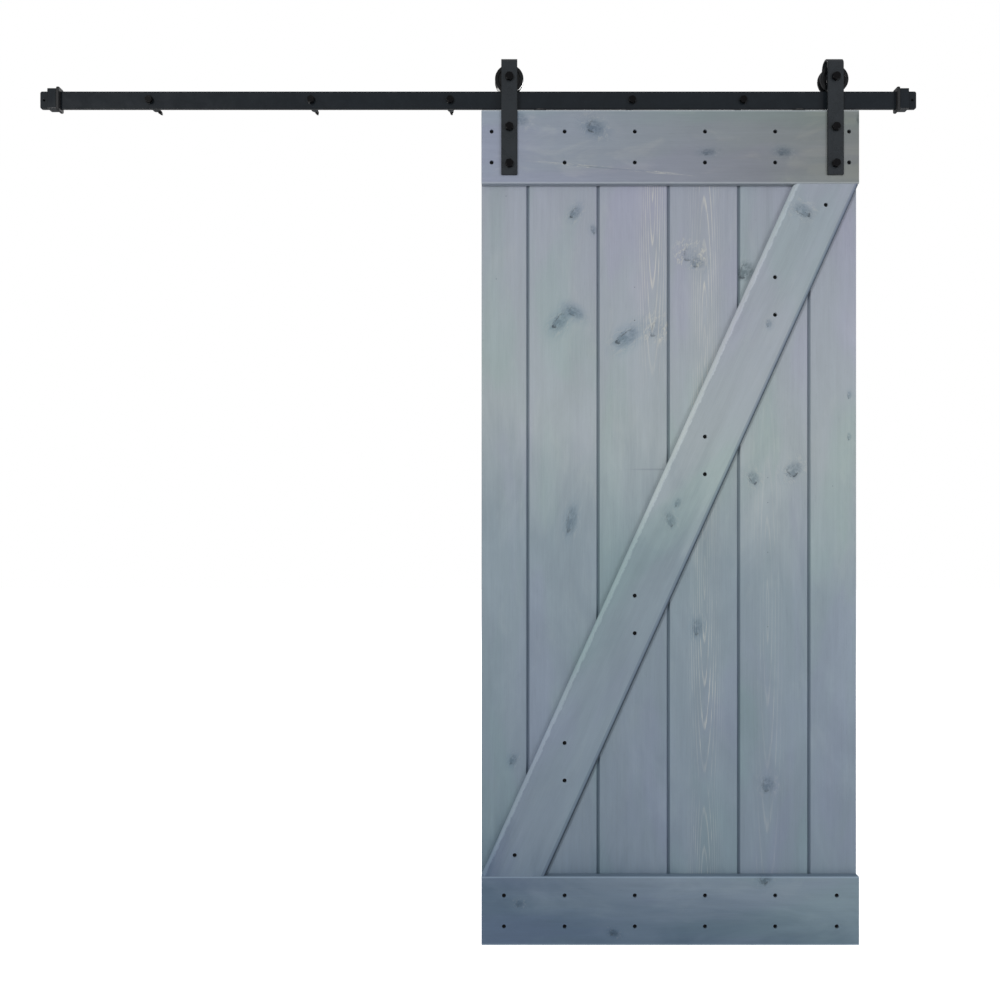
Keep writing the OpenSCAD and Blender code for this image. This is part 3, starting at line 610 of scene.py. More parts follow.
    # painted light and shade along the brace: a ragged painted highlight at its left edge, painted shade on its
    # right chamfer and a dark painted shadow line at its right edge
    if "strip" in look:
        middle = (Vector(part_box(node)[0]) + Vector(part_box(node)[1])) / 2
        across = calc(tree, "SUBTRACT", addNode(tree, "SeparateXYZ",
                                                {0: mapped(tree, place, turn=(0, turn, 0))}).outputs[0],
                      middle.x * cos(turn) + middle.z * sin(turn))
        ragged = calc(tree, "MULTIPLY_ADD", noise(tree, grained, 90.0, 3.0, 0.6), 0.012,
                      calc(tree, "ADD", across, -0.006))
        colour = mixColour(tree, spread(tree, ragged, -0.064, -0.067), colour, (1.36, 1.34, 1.3, 1),
                           "MULTIPLY")
        colour = mixColour(tree, spread(tree, across, look["strip"] - 0.0125, look["strip"] - 0.0105, 0.0, 0.7),
                           colour, (0.55, 0.6, 0.68, 1), "MULTIPLY")
        colour = mixColour(tree, spread(tree, across, look["strip"] - 0.0042, look["strip"] - 0.0028, 0.0, 0.9),
                           colour, shade(52, 62, 72))
    # a pale painted highlight along a board's lower and upper edges
    if "rim" in look:
        upright = addNode(tree, "SeparateXYZ", {0: place}).outputs[2]
        foot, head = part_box(node)[0][2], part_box(node)[1][2]
        rim = calc(tree, "ADD", spread(tree, upright, foot + 0.005, foot + 0.0025),
                   spread(tree, upright, head - 0.005, head - 0.0025))
        colour = mixColour(tree, calc(tree, "MULTIPLY", rim, look["rim"]), colour,
                           shade(*look.get("rimTone", (176, 184, 190))))
    edges = useGroup(tree, edgeGroup, {"Vector": place, "Width": 0.0012, "Breakup": 160.0})
    colour = mixColour(tree, calc(tree, "MULTIPLY", edges["Mask"], 0.35), colour, shade(178, 184, 190))
    tree.links.new(colour, shader.inputs["Base Color"])
    rough = calc(tree, "MULTIPLY_ADD", fibre["Fibres"], 0.22,
                 calc(tree, "MULTIPLY_ADD", fibre["Blush"], 0.1, 0.36), clamp=True)
    tree.links.new(rough, shader.inputs["Roughness"])
    normal = addNode(tree, "Bump", {"Height": fibre["Height"], "Strength": 0.35, "Distance": 0.0004})
    tree.links.new(normal.outputs[0], shader.inputs["Normal"])
    return material


# knots: (share across the piece, share down the door, width and height in mm, lean in degrees, kind)
# loops: (share across, share down, line spacing in mm, reach in mm, strength)
planks = {
    "plank_1": {
        "seed": (0.3, 0.1, 0.7),
        "knots": [(0.5, 0.1, 3, 3, 0, "dot"), (0.3, 0.2, 3, 3, 0, "dot"), (0.65, 0.78, 25, 35, 20, "smear")],
    },
    "plank_2": {
        "seed": (1.3, 0.4, 2.7),
        "knots": [(0.65, 0.12, 30, 45, 35, "knot"), (0.9, 0.14, 20, 30, -20, "smear"),
                  (0.45, 0.25, 40, 70, 40, "knot"), (0.65, 0.24, 60, 30, 30, "smear"),
                  (0.6, 0.49, 35, 90, 10, "smear")],
    },
    "plank_3": {
        "seed": (2.1, 0.9, 5.2),
        "knots": [(0.4, 0.27, 45, 85, 55, "knot"), (0.8, 0.26, 45, 60, 20, "pale"),
                  (0.5, 0.21, 3, 3, 0, "dot"),
                  (0.5, 0.25, 4, 4, 0, "dot"), (0.8, 0.43, 85, 3, 0, "line")],
        "loops": [(0.75, 0.08, 5.5, 600, 0.9)],
    },
    "plank_4": {
        "seed": (3.7, 1.3, 8.1),
        "knots": [(0.3, 0.17, 60, 50, 15, "pale"), (0.4, 0.18, 45, 35, 10, "smear"),
                  (0.4, 0.62, 35, 55, 0, "smear")],
        "loops": [(0.5, 0.28, 5.5, 600, 0.9), (0.5, 0.56, 5.5, 600, 0.8), (0.5, 1.0, 5.0, 450, 0.6)],
    },
    "plank_5": {
        "seed": (4.4, 2.2, 1.9),
        "knots": [(0.1, 0.19, 50, 60, 20, "dark"), (0.75, 0.43, 60, 45, -35, "knot"),
                  (0.2, 0.44, 35, 45, -30, "knot"), (0.4, 0.81, 45, 50, 0, "smear"),
                  (0.4, 0.44, 3, 3, 0, "dot"),
                  (0.4, 0.47, 3, 3, 0, "dot"), (0.4, 0.53, 3, 3, 0, "dot"), (0.4, 0.62, 3, 3, 0, "dot")],
        "loops": [(0.4, 0.6, 8.0, 900, 0.25)],
    },
    "plank_6": {
        "seed": (5.9, 2.8, 3.3),
        "knots": [(0.85, 0.34, 15, 25, 0, "smear"), (0.85, 0.39, 15, 25, 0, "smear"),
                  (0.5, 0.45, 3, 3, 0, "dot")],
    },
}
boards = {
    "top_board": {
        "seed": (0.5, 3.1, 6.4), "turn": radians(90), "rim": 0.4, "cloud": 0.9,
        "ends": [(0.0, (140, 150, 165)), (1.0, (115, 120, 120))],
        "knots": [(0.3, 0.02, 60, 45, 30, "knot"), (0.1, 0.01, 60, 40, 20, "smear"),
                  (0.6, 0.05, 45, 20, 0, "smear"),
                  (0.8, 0.05, 45, 25, 10, "smear"), (0.35, 0.07, 260, 5, 5, "pale"),
                  (1.0, 0.01, 20, 30, 0, "dark")],
    },
    "bottom_board": {
        "seed": (7.5, 3.6, 2.4), "turn": radians(90), "cloud": 0.5, "rim": 0.5, "rimTone": (140, 160, 180),
        "knots": [(0.75, 0.92, 45, 35, -30, "dark"), (0.1, 0.95, 25, 20, 0, "smear"),
                  (0.35, 0.985, 30, 20, 20, "dark")],
    },
    "diagonal_brace": {
        "seed": (8.2, 4.4, 7.7), "joint": 0.0, "lit": 0.7, "strip": 0.075, "cloud": 0.2,
        "knots": [(0.85, 0.12, 40, 60, -60, "knot"), (0.76, 0.255, 20, 25, 0, "smear"),
                  (0.52, 0.47, 20, 30, 20, "smear"), (0.5, 0.49, 30, 50, -20, "smear")],
    },
}
boards["diagonal_brace"]["turn"] = -radians(24.4)  # the grain follows the brace
print("stains listed")


board = {"thick": 0.017, "round": 0.0015}
joint = {"front": 0.0045, "back": 0.003, "tongue": 0.007, "tongueThick": 0.006, "slack": 0.0003,
         "edge": 0.001}
screwHole = {"radius": 0.0053, "sink": 0.003, "shank": 0.002}
boltHole = {"radius": 0.0061, "drops": (0.046, 0.139)}
door = {"width": doorHigh.x - doorLow.x, "front": doorLow.y, "plankFront": doorLow.y + board["thick"]}
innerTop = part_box("top_board")[0][2]
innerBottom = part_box("bottom_board")[1][2]
leftX = sum(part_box("left_hanger_strap")[i][0] for i in (0, 1)) / 2
rightX = sum(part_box("right_hanger_strap")[i][0] for i in (0, 1)) / 2

brace = {"width": 0.15, "chamfer": 0.0065, "endScrew": (0.085, 0.054), "pair": 0.096,
         "shifts": (0.005, -0.015, -0.005, 0.006)}
braceLean = 0.4
for step in range(30):
    braceLean = atan2(door["width"] - brace["width"] / cos(braceLean), innerTop - innerBottom)
braceCut = brace["width"] / cos(braceLean)

# screw rows in metres from the door's left edge
columns = [0.2125 + 0.1793 * i for i in range(4)]
topScrews = [(doorLow.x + x, doorHigh.z - drop) for x in [0.026] + columns + [door["width"] - 0.026]
             for drop in (0.055, 0.134)]
bottomScrews = [(doorLow.x + x, doorLow.z + rise) for x in [0.0575] + columns + [door["width"] - 0.0575]
                for rise in (0.048, 0.127)]
braceScrews = [(doorLow.x + brace["endScrew"][0], innerBottom + brace["endScrew"][1]),
               (doorHigh.x - brace["endScrew"][0], innerTop - brace["endScrew"][1])]
for x, shift in zip(columns, brace["shifts"]):
    middle = innerBottom + (x - braceCut / 2) / (door["width"] - braceCut) * (innerTop - innerBottom) + shift
    braceScrews += [(doorLow.x + x, middle - brace["pair"] / 2), (doorLow.x + x, middle + brace["pair"] / 2)]


def drillBoard(piece, places):
    drills = []
    for x, z in places:
        hole = turnPiece("drill", [(0, -0.002), (screwHole["radius"], -0.002),
                                   (screwHole["radius"], screwHole["sink"]),
                                   (screwHole["shank"] + 0.0002, screwHole["sink"] + 0.0036),
                                   (screwHole["shank"] + 0.0002, 0.03), (0, 0.03)],
                         (x, door["front"], z), closed=False, steps=32)
        drills.append(hole)
    cutAway(piece, joinPieces("drills", drills))


def boltHoles(piece, front):
    rods = [addRod("drill", boltHole["radius"], (x, front - 0.005, doorHigh.z - drop), 0.06, 48)
            for x in (leftX, rightX) for drop in boltHole["drops"]]
    cutAway(piece, joinPieces("drills", rods))


def makePlank(number, look):
    name = "plank_%d" % number
    low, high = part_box(name)
    hasGroove, hasTongue = number > 1, number < 6
    x0, x1 = low[0], high[0] - (joint["tongue"] if hasTongue else 0)
    y0, y1 = door["plankFront"], high[1]
    piece = addBlock("plank%d" % number, (x0, y0, low[2]), (x1, y1, high[2]))
    middle = (y0 + y1) / 2
    openPiece(piece, "EDGE")
    for x, jointed in ((x0, hasGroove), (x1, hasTongue)):
        for y, width in ((y0, joint["front"]), (y1, joint["back"])):
            pickEdges(piece, lambda e: edgeAlong(e, 2) and abs(e.verts[0].co.x - x) < 1e-5
                      and abs(e.verts[0].co.y - y) < 1e-5)
            bpy.ops.mesh.bevel(offset=width if jointed else joint["edge"], segments=1, affect="EDGES")
    bpy.ops.mesh.select_mode(type="FACE")
    for side, x, wanted in ((-1, x0, hasGroove), (1, x1, hasTongue)):
        if not wanted:
            continue
        half = joint["tongueThick"] / 2 + (joint["slack"] / 2 if side < 0 else 0)
        for y in (middle - half, middle + half):
            pickFaces(piece, lambda f: f.normal.x * side > 0.99 and abs(f.calc_center_median().x - x) < 1e-4)
            bpy.ops.mesh.bisect(plane_co=(0, y, 0), plane_no=(0, 1, 0))
        pickFaces(piece, lambda f: f.normal.x * side > 0.99 and abs(f.calc_center_median().x - x) < 1e-4
                  and abs(f.calc_center_median().y - middle) < 0.001)
        reach = joint["tongue"] if side > 0 else joint["tongue"] + joint["slack"]
        bpy.ops.mesh.extrude_region_move(TRANSFORM_OT_translate={"value": (reach, 0, 0)})
    closePiece()
    if number in (1, 6):
        boltHoles(piece, y0)
    roundEdges(piece, 0.0007, 2, 40)
    smoothPiece(piece)
    settle(piece, "door", "plank_wood", makeWood(name + "StainAndShade", look, name), name)
    return piece


def makeBoard(node, title, screws):
    low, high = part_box(node)
    piece = addBlock(title, low, high)
    roundEdges(piece, board["round"], 3)
    drillBoard(piece, screws)
    if node == "top_board":
        boltHoles(piece, low[1])
    smoothPiece(piece)
    settle(piece, "door", "trim_wood", makeWood(title + "StainAndShade", boards[node], node), node)
    return piece


def makeBrace():
    low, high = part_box("diagonal_brace")
    middle = [(a + b) / 2 for a, b in zip(low, high)]
    deselectAll()
    bpy.ops.mesh.primitive_cube_add(size=1, location=(0, 0, 0), scale=(brace["width"], board["thick"], 3))
    piece = bpy.context.object
    piece.name = "diagonalBrace"
    fixPlace(piece)
    openPiece(piece, "EDGE")
    pickEdges(piece, lambda e: edgeAlong(e, 2) and e.verts[0].co.y < 0)
    bpy.ops.mesh.bevel(offset=brace["chamfer"], segments=1, affect="EDGES")
    closePiece()
    piece.rotation_euler = (0, braceLean, 0)
    piece.location = middle
    fixPlace(piece)
    openPiece(piece, "VERT")
    for place, normal in (((0, 0, high[2]), (0, 0, 1)), ((0, 0, low[2]), (0, 0, -1)),
                          ((low[0], 0, 0), (-1, 0, 0)), ((high[0], 0, 0), (1, 0, 0))):
        bpy.ops.mesh.select_all(action="SELECT")
        bpy.ops.mesh.bisect(plane_co=place, plane_no=normal, use_fill=True, clear_outer=True)
    closePiece()
    drillBoard(piece, braceScrews)
    roundEdges(piece, 0.0006, 2, 40)
    smoothPiece(piece)
    settle(piece, "door", "trim_wood",
           makeWood("diagonalBraceStainAndShade", boards["diagonal_brace"], "diagonal_brace"), "diagonal_brace")
    return piece


for number in range(1, 7):
    makePlank(number, planks["plank_%d" % number])
makeBoard("top_board", "topBoard", topScrews)
makeBoard("bottom_board", "bottomBoard", bottomScrews)
makeBrace()
print("door panel made")


def makeThread(name, root, crest, pitch, length, steps=20):
    # a ridge wound round Z with the Screw modifier, then laid along +Y
    inside = root - 0.0002
    points = [(inside, 0, 0), (crest, 0, pitch * 0.32), (crest, 0, pitch * 0.42), (inside, 0, pitch * 0.74)]
    piece = drawOutline(name, points)
    closePiece()
    turns = max(1, int((length - pitch) / pitch))
    wind = piece.modifiers.new("wind", "SCREW")
    wind.angle = radians(360)
    wind.screw_offset = pitch
    wind.iterations = turns
    wind.steps = wind.render_steps = steps
    wind.use_merge_vertices = False
    takePiece(piece)
    bpy.ops.object.modifier_apply(modifier=wind.name)
    openPiece(piece, "VERT")
    bpy.ops.mesh.select_all(action="SELECT")
    bpy.ops.mesh.fill_holes(sides=0)
    bpy.ops.mesh.normals_make_consistent(inside=False)
    closePiece()
    piece.rotation_euler = (radians(-90), 0, 0)
    fixPlace(piece)
    return piece


def makeHexHead(name, acrossFlats, height):
    # bears at the origin and stands towards -Y, with a shallow dish in its face
    wide, face = acrossFlats / 2 / cos(radians(30)), acrossFlats / 2 * 0.95
    drop = (wide - face) * 0.58
    crown = turnPiece("crown", [(0, 0), (wide + 0.001, 0), (wide + 0.001, -height + drop + 0.0006),
                                (face, -height), (0, -height)], (0, 0, 0), closed=False, steps=72)
    head = addRod(name, wide, (0, -height, 0), height, 6, radians(30))
    cutAway(head, crown, "INTERSECT")
    cleanPiece(head)
    roundEdges(head, 0.0002, 1, 35)
    openPiece(head, "FACE")
    pickFaces(head, lambda f: f.normal.y < -0.99 and f.calc_center_median().y < -height * 0.9)
    bpy.ops.mesh.inset(thickness=acrossFlats * 0.1, depth=0)
    bpy.ops.mesh.inset(thickness=acrossFlats * 0.04, depth=-acrossFlats * 0.016)
    closePiece()
    return head


def makeBolt(name, size, shankLength, radius, tail=0.0):
    head = makeHexHead(name + "Head", *size)
    shank = turnPiece(name + "Shank", [(0, -0.001), (radius, -0.001), (radius, shankLength - 0.0011),
                                       (radius - 0.001, shankLength), (0, shankLength)],
                      (0, 0, 0), closed=False, steps=48)
    parts = [head, shank]
    bolt = joinPieces(name, parts)
    smoothPiece(bolt)
    return bolt


def makeNut(name, acrossFlats, height, bore):
    # stands towards +Y from the origin
    wide, face = acrossFlats / 2 / cos(radians(30)), acrossFlats / 2 * 0.95
    drop = (wide - face) * 0.58
    crown = turnPiece("crown", [(0, 0), (face, 0), (wide + 0.001, drop + 0.0006),
                                (wide + 0.001, height - drop - 0.0006),
                                (face, height), (0, height)], (0, 0, 0), closed=False, steps=72)
    nut = addRod(name, wide, (0, 0, 0), height, 6, radians(30))
    cutAway(nut, crown, "INTERSECT")
    hole = turnPiece("hole", [(0, -0.001), (bore + 0.0016, -0.001), (bore, 0.0007), (bore, height - 0.0007),
                              (bore + 0.0016, height + 0.001), (0, height + 0.001)], (0, 0, 0), closed=False,
                              steps=48)
    cutAway(nut, hole)
    roundEdges(nut, 0.0002, 2, 35)
    smoothPiece(nut)
    return nut


def makeRing(name, radius, bore, thick, centre, rim=0.0003, axis="Y"):
    ring = turnPiece(name, [(bore, 0), (radius, 0), (radius, thick), (bore, thick)], centre, axis, steps=72)
    roundEdges(ring, rim, 2)
    smoothPiece(ring)
    return ring


track = {"corner": 0.005, "holeRadius": 0.0055, "tailHole": 0.003, "tailInset": 0.01, "tailDepth": 0.0045}
lag = {"places": (-0.772, -0.357, 0.0, 0.467, 0.752, 0.985), "head": (0.017, 0.007), "washer": 0.0016,
       "washerRadius": 0.01, "shank": 0.005, "root": 0.0036, "crest": 0.0049, "pitch": 0.0034, "thread": 0.03,
       "point": 0.008,
       "turns": (12, 41, 3, 27, 52, 18)}
trackLow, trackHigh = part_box("track_rail")
trackMiddleY = (trackLow[1] + trackHigh[1]) / 2

bar = addBlock("trackBar", trackLow, trackHigh)
openPiece(bar, "EDGE")
pickEdges(bar, lambda e: edgeAlong(e, 1))
bpy.ops.mesh.bevel(offset=track["corner"], segments=6, affect="EDGES")
closePiece()
drills = [addRod("drill", track["holeRadius"], (x, trackLow[1] - 0.01, 0), 0.03) for x in lag["places"]]
drills += [addRod("drill", track["tailHole"], (x, trackLow[1] - 0.01, 0), 0.01 + track["tailDepth"])
           for x in (trackLow[0] + track["tailInset"], trackHigh[0] - track["tailInset"])]
cutAway(bar, joinPieces("drills", drills))
roundEdges(bar, 0.0006, 2)
smoothPiece(bar)
settle(bar, "track", "track_steel", trackFinish, "track_rail")

plain = lag["washer"] + (trackHigh[1] - trackLow[1]) + (0 - trackHigh[1])
lagHead = makeHexHead("lagHead", *lag["head"])
lagShank = turnPiece("lagShank", [(0, -0.001), (lag["shank"], -0.001), (lag["shank"], plain - 0.0012),
                                  (lag["root"], plain),
                                  (lag["root"], plain + lag["thread"]),
                                  (0.0003, plain + lag["thread"] + lag["point"]),
                                  (0, plain + lag["thread"] + lag["point"])], (0, 0, 0), closed=False,
                                  steps=40)
lagThread = makeThread("lagThread", lag["root"], lag["crest"], lag["pitch"], lag["thread"])
lagThread.location = (0, plain - 0.001, 0)
fixPlace(lagThread)
lagScrew = joinPieces("lagScrewFirst", [lagHead, lagShank, lagThread])
smoothPiece(lagScrew, 40)
for number, (x, turn) in enumerate(zip(lag["places"], lag["turns"]), 1):
    seat = trackLow[1] - lag["washer"]
    screw = copyTo(lagScrew, "lagScrew%d" % number, (x, seat, 0), radians(turn))
    settle(screw, "track", "black_screws", boltFinish, "lag_screws")
    washer = makeRing("lagWasher%d" % number, lag["washerRadius"], track["holeRadius"], lag["washer"],
                      (x, seat, 0))
    settle(washer, "track", "track_steel", trackFinish, "lag_washers")
    spacer = makeRing("wallSpacer%d" % number, 0.011, track["holeRadius"], -trackHigh[1],
                      (x, trackHigh[1], 0), 0.0008)
    settle(spacer, "track", "track_steel", trackFinish, "wall_spacers")
bpy.data.objects.remove(lagScrew)
print("track made")


stop = {"chamfer": 0.0015, "bumperCorner": 0.005, "slack": 0.0002, "setScrews": 0.011}
for side in (left, right):
    low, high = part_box(side + "_stop_block")
    block = addBlock(side + "StopBlock", low, high)
    roundEdges(block, stop["chamfer"], 2)
    slotCutter = addBlock("slot", (low[0] - 0.05, trackLow[1] - stop["slack"], trackLow[2] - stop["slack"]),
                          (high[0] + 0.05, trackHigh[1] + stop["slack"], trackHigh[2] + stop["slack"]))
    cutAway(block, slotCutter)
    middle = (low[0] + high[0]) / 2
    rods = [addRod("drill", 0.00255, (middle + s * stop["setScrews"] / 2, trackMiddleY, 0), 0.03, 32)
            for s in (-1, 1)]
    cutAway(block, joinPieces("drills", rods))
    smoothPiece(block, 40)
    settle(block, "track", "track_steel", trackFinish, side + "_stop_block")

    low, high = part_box(side + "_stop_bumper")
    bumper = addBlock(side + "StopBumper", low, high)
    openPiece(bumper, "EDGE")
    pickEdges(bumper, lambda e: edgeAlong(e, 0))
    bpy.ops.mesh.bevel(offset=stop["bumperCorner"], segments=8, affect="EDGES")
    closePiece()
    roundEdges(bumper, 0.002, 4, 50)
    slotCutter = addBlock("slot", (low[0] - 0.05, trackLow[1] - stop["slack"], trackLow[2] - stop["slack"]),
                          (high[0] + 0.05, trackHigh[1] + stop["slack"], trackHigh[2] + stop["slack"]))
    cutAway(bumper, slotCutter)
    smoothPiece(bumper, 40)
    settle(bumper, "track", "stop_rubber", rubberFinish, side + "_stop_bumper")
print("stops made")


strap = {"thick": 0.005, "backLeg": 0.02, "foot": 0.002, "hole": 0.0061, "edge": 0.0007}
bolt = {"head": (0.019, 0.008), "radius": 0.0059, "washer": (0.012, 0.002), "nut": (0.019, 0.007),
        "axleNut": (0.019, 0.009)}
axleZ = (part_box("left_wheel_rim")[0][2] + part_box("left_wheel_rim")[1][2]) / 2

strapBolt = makeBolt("strapBoltFirst", bolt["head"], 0.051, bolt["radius"])
axleBolt = makeBolt("axleBoltFirst", bolt["head"], 0.051, bolt["radius"])
thinNut = makeNut("thinNutFirst", *bolt["nut"], bolt["radius"] + 0.0001)
axleNut = makeNut("axleNutFirst", *bolt["axleNut"], bolt["radius"] + 0.0001)


def makeStrap(side):
    low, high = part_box(side + "_hanger_strap")
    middleY = (low[1] + high[1]) / 2
    bend = high[2] - (high[1] - low[1]) / 2
    piece = addBlock(side + "Strap", low, (high[0], low[1] + strap["thick"], bend))
    openPiece(piece, "EDGE")
    pickEdges(piece, lambda e: edgeAlong(e, 1) and e.verts[0].co.z < low[2] + 0.001)
    bpy.ops.mesh.bevel(offset=strap["foot"], segments=3, affect="EDGES")
    bpy.ops.mesh.select_mode(type="FACE")
    pickFaces(piece, lambda f: f.normal.z > 0.99)
    bpy.ops.mesh.spin(steps=40, angle=radians(180), center=(0, middleY, bend), axis=(1, 0, 0))
    bpy.ops.mesh.extrude_region_move(
        TRANSFORM_OT_translate={"value": (0, 0, axleZ - strap["backLeg"] - bend)})
    closePiece()
    x = (low[0] + high[0]) / 2
    rods = [addRod("drill", strap["hole"], (x, low[1] - 0.005, axleZ), 0.05)]
    rods += [addRod("drill", strap["hole"], (x, low[1] - 0.005, doorHigh.z - drop), 0.012)
             for drop in boltHole["drops"]]
    cutAway(piece, joinPieces("drills", rods))
    roundEdges(piece, strap["edge"], 3, 40)
    smoothPiece(piece, 25)
    settle(piece, "door", "hanger_steel", hangerFinish, side + "_hanger_strap")
    return piece


def hangDoor(side, x, turns):
    makeStrap(side)
    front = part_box(side + "_hanger_strap")[0][1]
    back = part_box(side + "_hanger_strap")[1][1]
    for number, drop in enumerate(boltHole["drops"], 1):
        z = doorHigh.z - drop
        piece = copyTo(strapBolt, side + "StrapBolt%d" % number, (x, front, z), radians(turns[number]))
        settle(piece, "door", "black_bolts", boltFinish, side + "_strap_bolts")
        piece = makeRing(side + "StrapWasher%d" % number, bolt["washer"][0], strap["hole"], bolt["washer"][1],
                         (x, doorHigh.y, z))
        settle(piece, "door", "zinc", zincFinish, side + "_strap_washers")
        piece = copyTo(thinNut, side + "StrapNut%d" % number, (x, doorHigh.y + bolt["washer"][1], z),
                       radians(turns[number] * 1.7))
        settle(piece, "door", "zinc", zincFinish, side + "_strap_nuts")
    piece = copyTo(axleBolt, side + "AxleBolt", (x, front, axleZ), radians(turns[0]))
    settle(piece, "door", "black_bolts", boltFinish, side + "_axle_bolt")
    piece = makeRing(side + "AxleWasher", bolt["washer"][0], strap["hole"], bolt["washer"][1],
                     (x, back, axleZ))
    settle(piece, "door", "black_bolts", boltFinish, side + "_axle_washer")
    piece = copyTo(axleNut, side + "AxleNut", (x, back + bolt["washer"][1], axleZ), radians(turns[0] + 11))
    settle(piece, "door", "black_bolts", boltFinish, side + "_axle_nut")


hangDoor(left, leftX, (8, 22, 49))
hangDoor(right, rightX, (33, 5, 17))
for piece in (strapBolt, axleBolt, thinNut, axleNut):
    bpy.data.objects.remove(piece)
print("hangers made")


# half sections in metres from the axle and from the wheel's middle
wheel = {"half": 0.01, "tread": 0.0289, "rim": 0.0365, "groove": 0.004, "mouth": 0.0063,
         "shoulder": 0.0142, "bearing": 0.016, "bearingHalf": 0.005, "ringGroove": 0.017, "ring": 0.0012,
         "dishIn": 0.021, "dishOut": 0.0275, "dish": 0.0018}


def makeWheel(side, x):
    w = wheel
    section = [(w["shoulder"], -w["half"]), (w["dishIn"] - 0.0009, -w["half"]),
               (w["dishIn"], -w["half"] + w["dish"]),
               (w["dishOut"], -w["half"] + w["dish"]), (w["dishOut"] + 0.0009, -w["half"]),
               (w["rim"], -w["half"]),
               (w["rim"], -w["mouth"]), (w["tread"], -w["groove"]), (w["tread"], w["groove"]),
               (w["rim"], w["mouth"]),
               (w["rim"], w["half"]), (w["dishOut"] + 0.0009, w["half"]),
               (w["dishOut"], w["half"] - w["dish"]),
               (w["dishIn"], w["half"] - w["dish"]), (w["dishIn"] - 0.0009, w["half"]),
               (w["bearing"], w["half"]),
               (w["bearing"], w["bearingHalf"] + w["ring"]), (w["ringGroove"], w["bearingHalf"] + w["ring"]),
               (w["ringGroove"], w["bearingHalf"]), (w["bearing"], w["bearingHalf"]),
               (w["bearing"], -w["bearingHalf"]), (w["shoulder"], -w["bearingHalf"])]
    piece = turnPiece(side + "Wheel", section, (x, trackMiddleY, axleZ), steps=128)
    roundEdges(piece, 0.0006, 3, 25)
    smoothPiece(piece, 25)
    settle(piece, side + "_wheel", "wheel_steel", wheelFinish, side + "_wheel_rim")


makeWheel(left, leftX)
makeWheel(right, rightX)
print("wheels made")


def makeRecess(wide, long, deep, y):
    # two crossed wedges that narrow inwards
    bars = []
    for size in ((long, wide), (wide, long)):
        bar = addBlock("recess", (-size[0] / 2, y - 0.001, -size[1] / 2),
                       (size[0] / 2, y + deep, size[1] / 2))
        openPiece(bar, "FACE")
        pickFaces(bar, lambda f: f.normal.y > 0.99)
        bpy.ops.transform.resize(value=(0.45 if size[0] == long else 0.7, 1,
                                        0.45 if size[1] == long else 0.7))
        closePiece()
        bars.append(bar)
    cutAway(bars[0], bars[1], "UNION")
    return bars[0]


def makeWoodScrew(name, radius, headHeight, length):
    body = turnPiece(name, [(0, 0), (radius - 0.0004, 0), (radius, 0.0003), (radius, 0.0006),
                            (0.0021, headHeight),
                            (0.0016, headHeight + 0.003), (0.0015, length - 0.004), (0.0002, length),
                            (0, length)],
                     (0, 0, 0), closed=False, steps=40)
    cutAway(body, makeRecess(0.0013, radius * 1.1, 0.0022, 0))
    thread = makeThread(name + "Thread", 0.0015, 0.00195, 0.0018, length - headHeight - 0.006, 12)
    thread.location = (0, headHeight + 0.002, 0)
    fixPlace(thread)
    roundEdges(body, 0.00015, 1, 40)
    screw = joinPieces(name, [body, thread])
    smoothPiece(screw, 40)
    return screw


woodScrew = makeWoodScrew("woodScrewFirst", 0.005, 0.004, 0.026)
for node, title, places in (("top_board_screws", "topScrew", topScrews),
                            ("bottom_board_screws", "bottomScrew", bottomScrews),
                            ("brace_screws", "braceScrew", braceScrews)):
    for number, (x, z) in enumerate(places, 1):
        turn = radians((number * 37 + len(places) * 11) % 90)
        screw = copyTo(woodScrew, title + str(number), (x, door["front"] + screwHole["sink"], z), turn)
        settle(screw, "door", "black_screws", screwFinish, node)
bpy.data.objects.remove(woodScrew)
print("screws made")


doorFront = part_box("top_board")[0][1]
middleX = (cadBox[0][0] + cadBox[1][0]) / 2
middleZ = (cadBox[0][2] + cadBox[1][2]) / 2
view = {"distance": 2.0, "aside": 0.0559, "rise": 0.003, "width": 2.5543}

deselectAll()
bpy.ops.object.camera_add(location=(middleX + view["aside"], doorFront - view["distance"],
                                    middleZ + view["rise"]), rotation=(radians(90), 0, 0))
camera = bpy.context.object
camera.name = "camera"
camera.data.sensor_width = 36
camera.data.lens = 36 * view["distance"] / view["width"]
camera.data.clip_end = 60
bpy.context.scene.camera = camera

world = bpy.data.worlds.new("studio")
bpy.context.scene.world = world
world.use_nodes = True
sky = world.node_tree
sky.nodes.clear()
seen = addNode(sky, "Background", {"Color": (1, 1, 1, 1), "Strength": 1.0})
lit = addNode(sky, "Background", {"Color": (0.98, 0.99, 1.0, 1), "Strength": 0.38})
ray = addNode(sky, "LightPath").outputs["Is Camera Ray"]
both = addNode(sky, "MixShader", {0: ray, 1: lit.outputs[0], 2: seen.outputs[0]})
skyOut = sky.nodes.new("ShaderNodeOutputWorld")
sky.links.new(both.outputs[0], skyOut.inputs[0])


def addLight(name, place, aim, size, power, colour=(1, 1, 1)):
    bpy.ops.object.light_add(type="AREA", location=place)
    lamp = bpy.context.object
    lamp.name = name
    lamp.data.shape = "RECTANGLE"
    lamp.data.size, lamp.data.size_y = size
    lamp.data.energy = power
    lamp.data.color = colour
    lamp.rotation_euler = (Vector(aim) - Vector(place)).to_track_quat("-Z", "Y").to_euler()


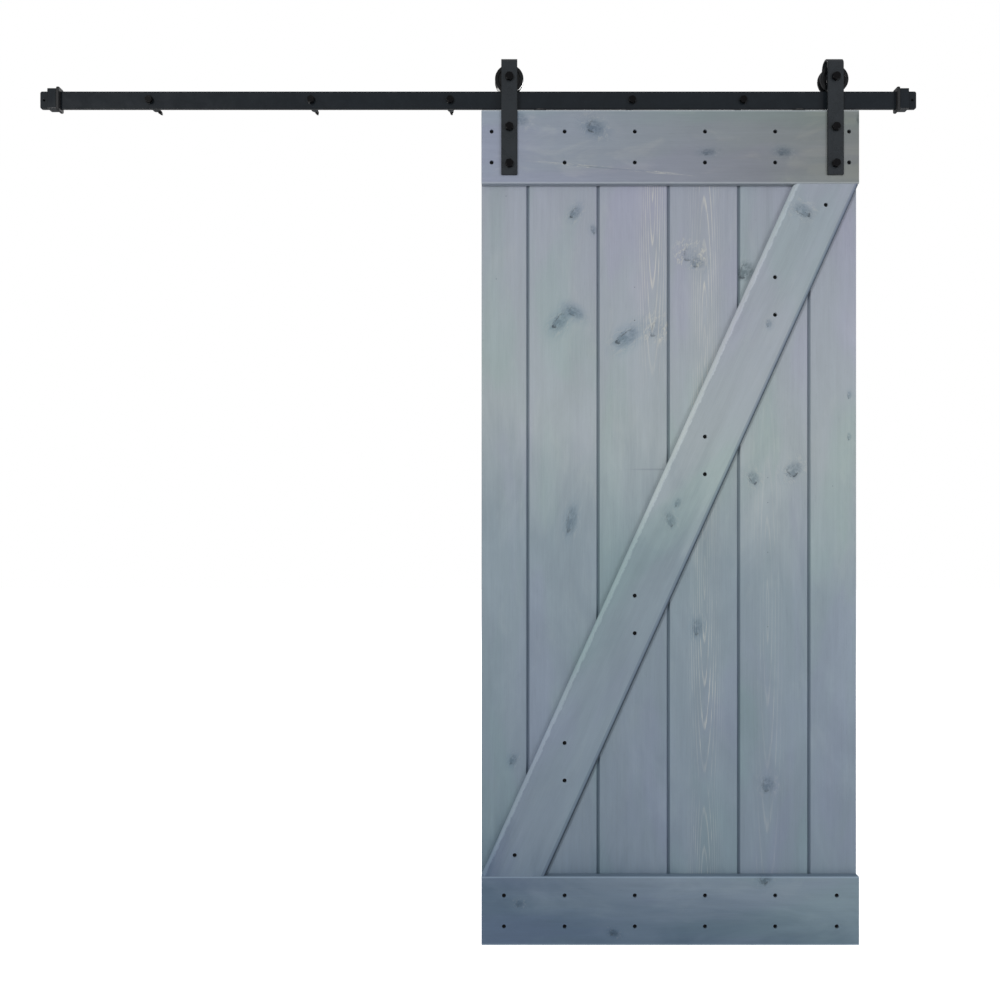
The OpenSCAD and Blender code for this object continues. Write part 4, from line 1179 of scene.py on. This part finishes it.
doorMiddle = (doorLow + doorHigh) / 2
addLight("keyLight", (doorMiddle.x - 5.2, doorFront - 8.2, 0.9), doorMiddle, (2.0, 2.0), 350, (1, 0.99, 0.97))
addLight("fillLight", (doorMiddle.x + 3.5, doorFront - 3.5, -0.4), doorMiddle, (2.0, 2.0), 62,
         (0.97, 0.98, 1))
addLight("backLight", (doorMiddle.x + 1.0, 3.6, 0.8), doorMiddle, (2.0, 2.0), 130)

bpy.ops.mesh.primitive_plane_add(size=1, location=(middleX, 1.0, cadBox[0][2] - 0.012), scale=(1, 1, 1))
floor = bpy.context.object
floor.name = "floor"
floor.scale = (14, 14, 1)
fixPlace(floor)
pale, tree, shader, place = newMaterial("paleFloor")
cloud = noise(tree, place, 3.0, 3.0)
tree.links.new(mixColour(tree, cloud, (0.9, 0.9, 0.9, 1), (0.93, 0.93, 0.93, 1)), shader.inputs["Base Color"])
shader.inputs["Roughness"].default_value = 0.9
shader.inputs["Emission Color"].default_value = (1, 1, 1, 1)
glow = calc(tree, "MULTIPLY", addNode(tree, "LightPath").outputs["Is Camera Ray"], 0.75)
tree.links.new(glow, shader.inputs["Emission Strength"])
floor.data.materials.append(pale)
bpy.context.scene.view_settings.view_transform = "Standard"
print("camera and lights set")


# finishes for the CAD nodes that stay
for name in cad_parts:
    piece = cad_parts[name]
    if piece.hide_render:
        continue
    finish = boltFinish
    for part, material in (("track_rail", trackFinish), ("lag_washers", trackFinish),
                           ("wall_spacers", trackFinish),
                           ("stop_block", trackFinish), ("bumper", rubberFinish), ("screws", screwFinish),
                           ("disc", nylonFinish), ("strap", hangerFinish), ("washers", zincFinish),
                           ("nuts", zincFinish),
                           ("bolt", boltFinish), ("axle", boltFinish), ("bushes", zincFinish),
                           ("rim", wheelFinish),
                           ("retaining", zincFinish), ("outer_ring", bearingFinish),
                           ("inner_ring", bearingFinish),
                           ("balls", bearingFinish), ("cage", brassFinish), ("shields", shieldFinish)):
        if part in name:
            finish = material
    piece.data.materials.clear()
    piece.data.materials.append(finish)
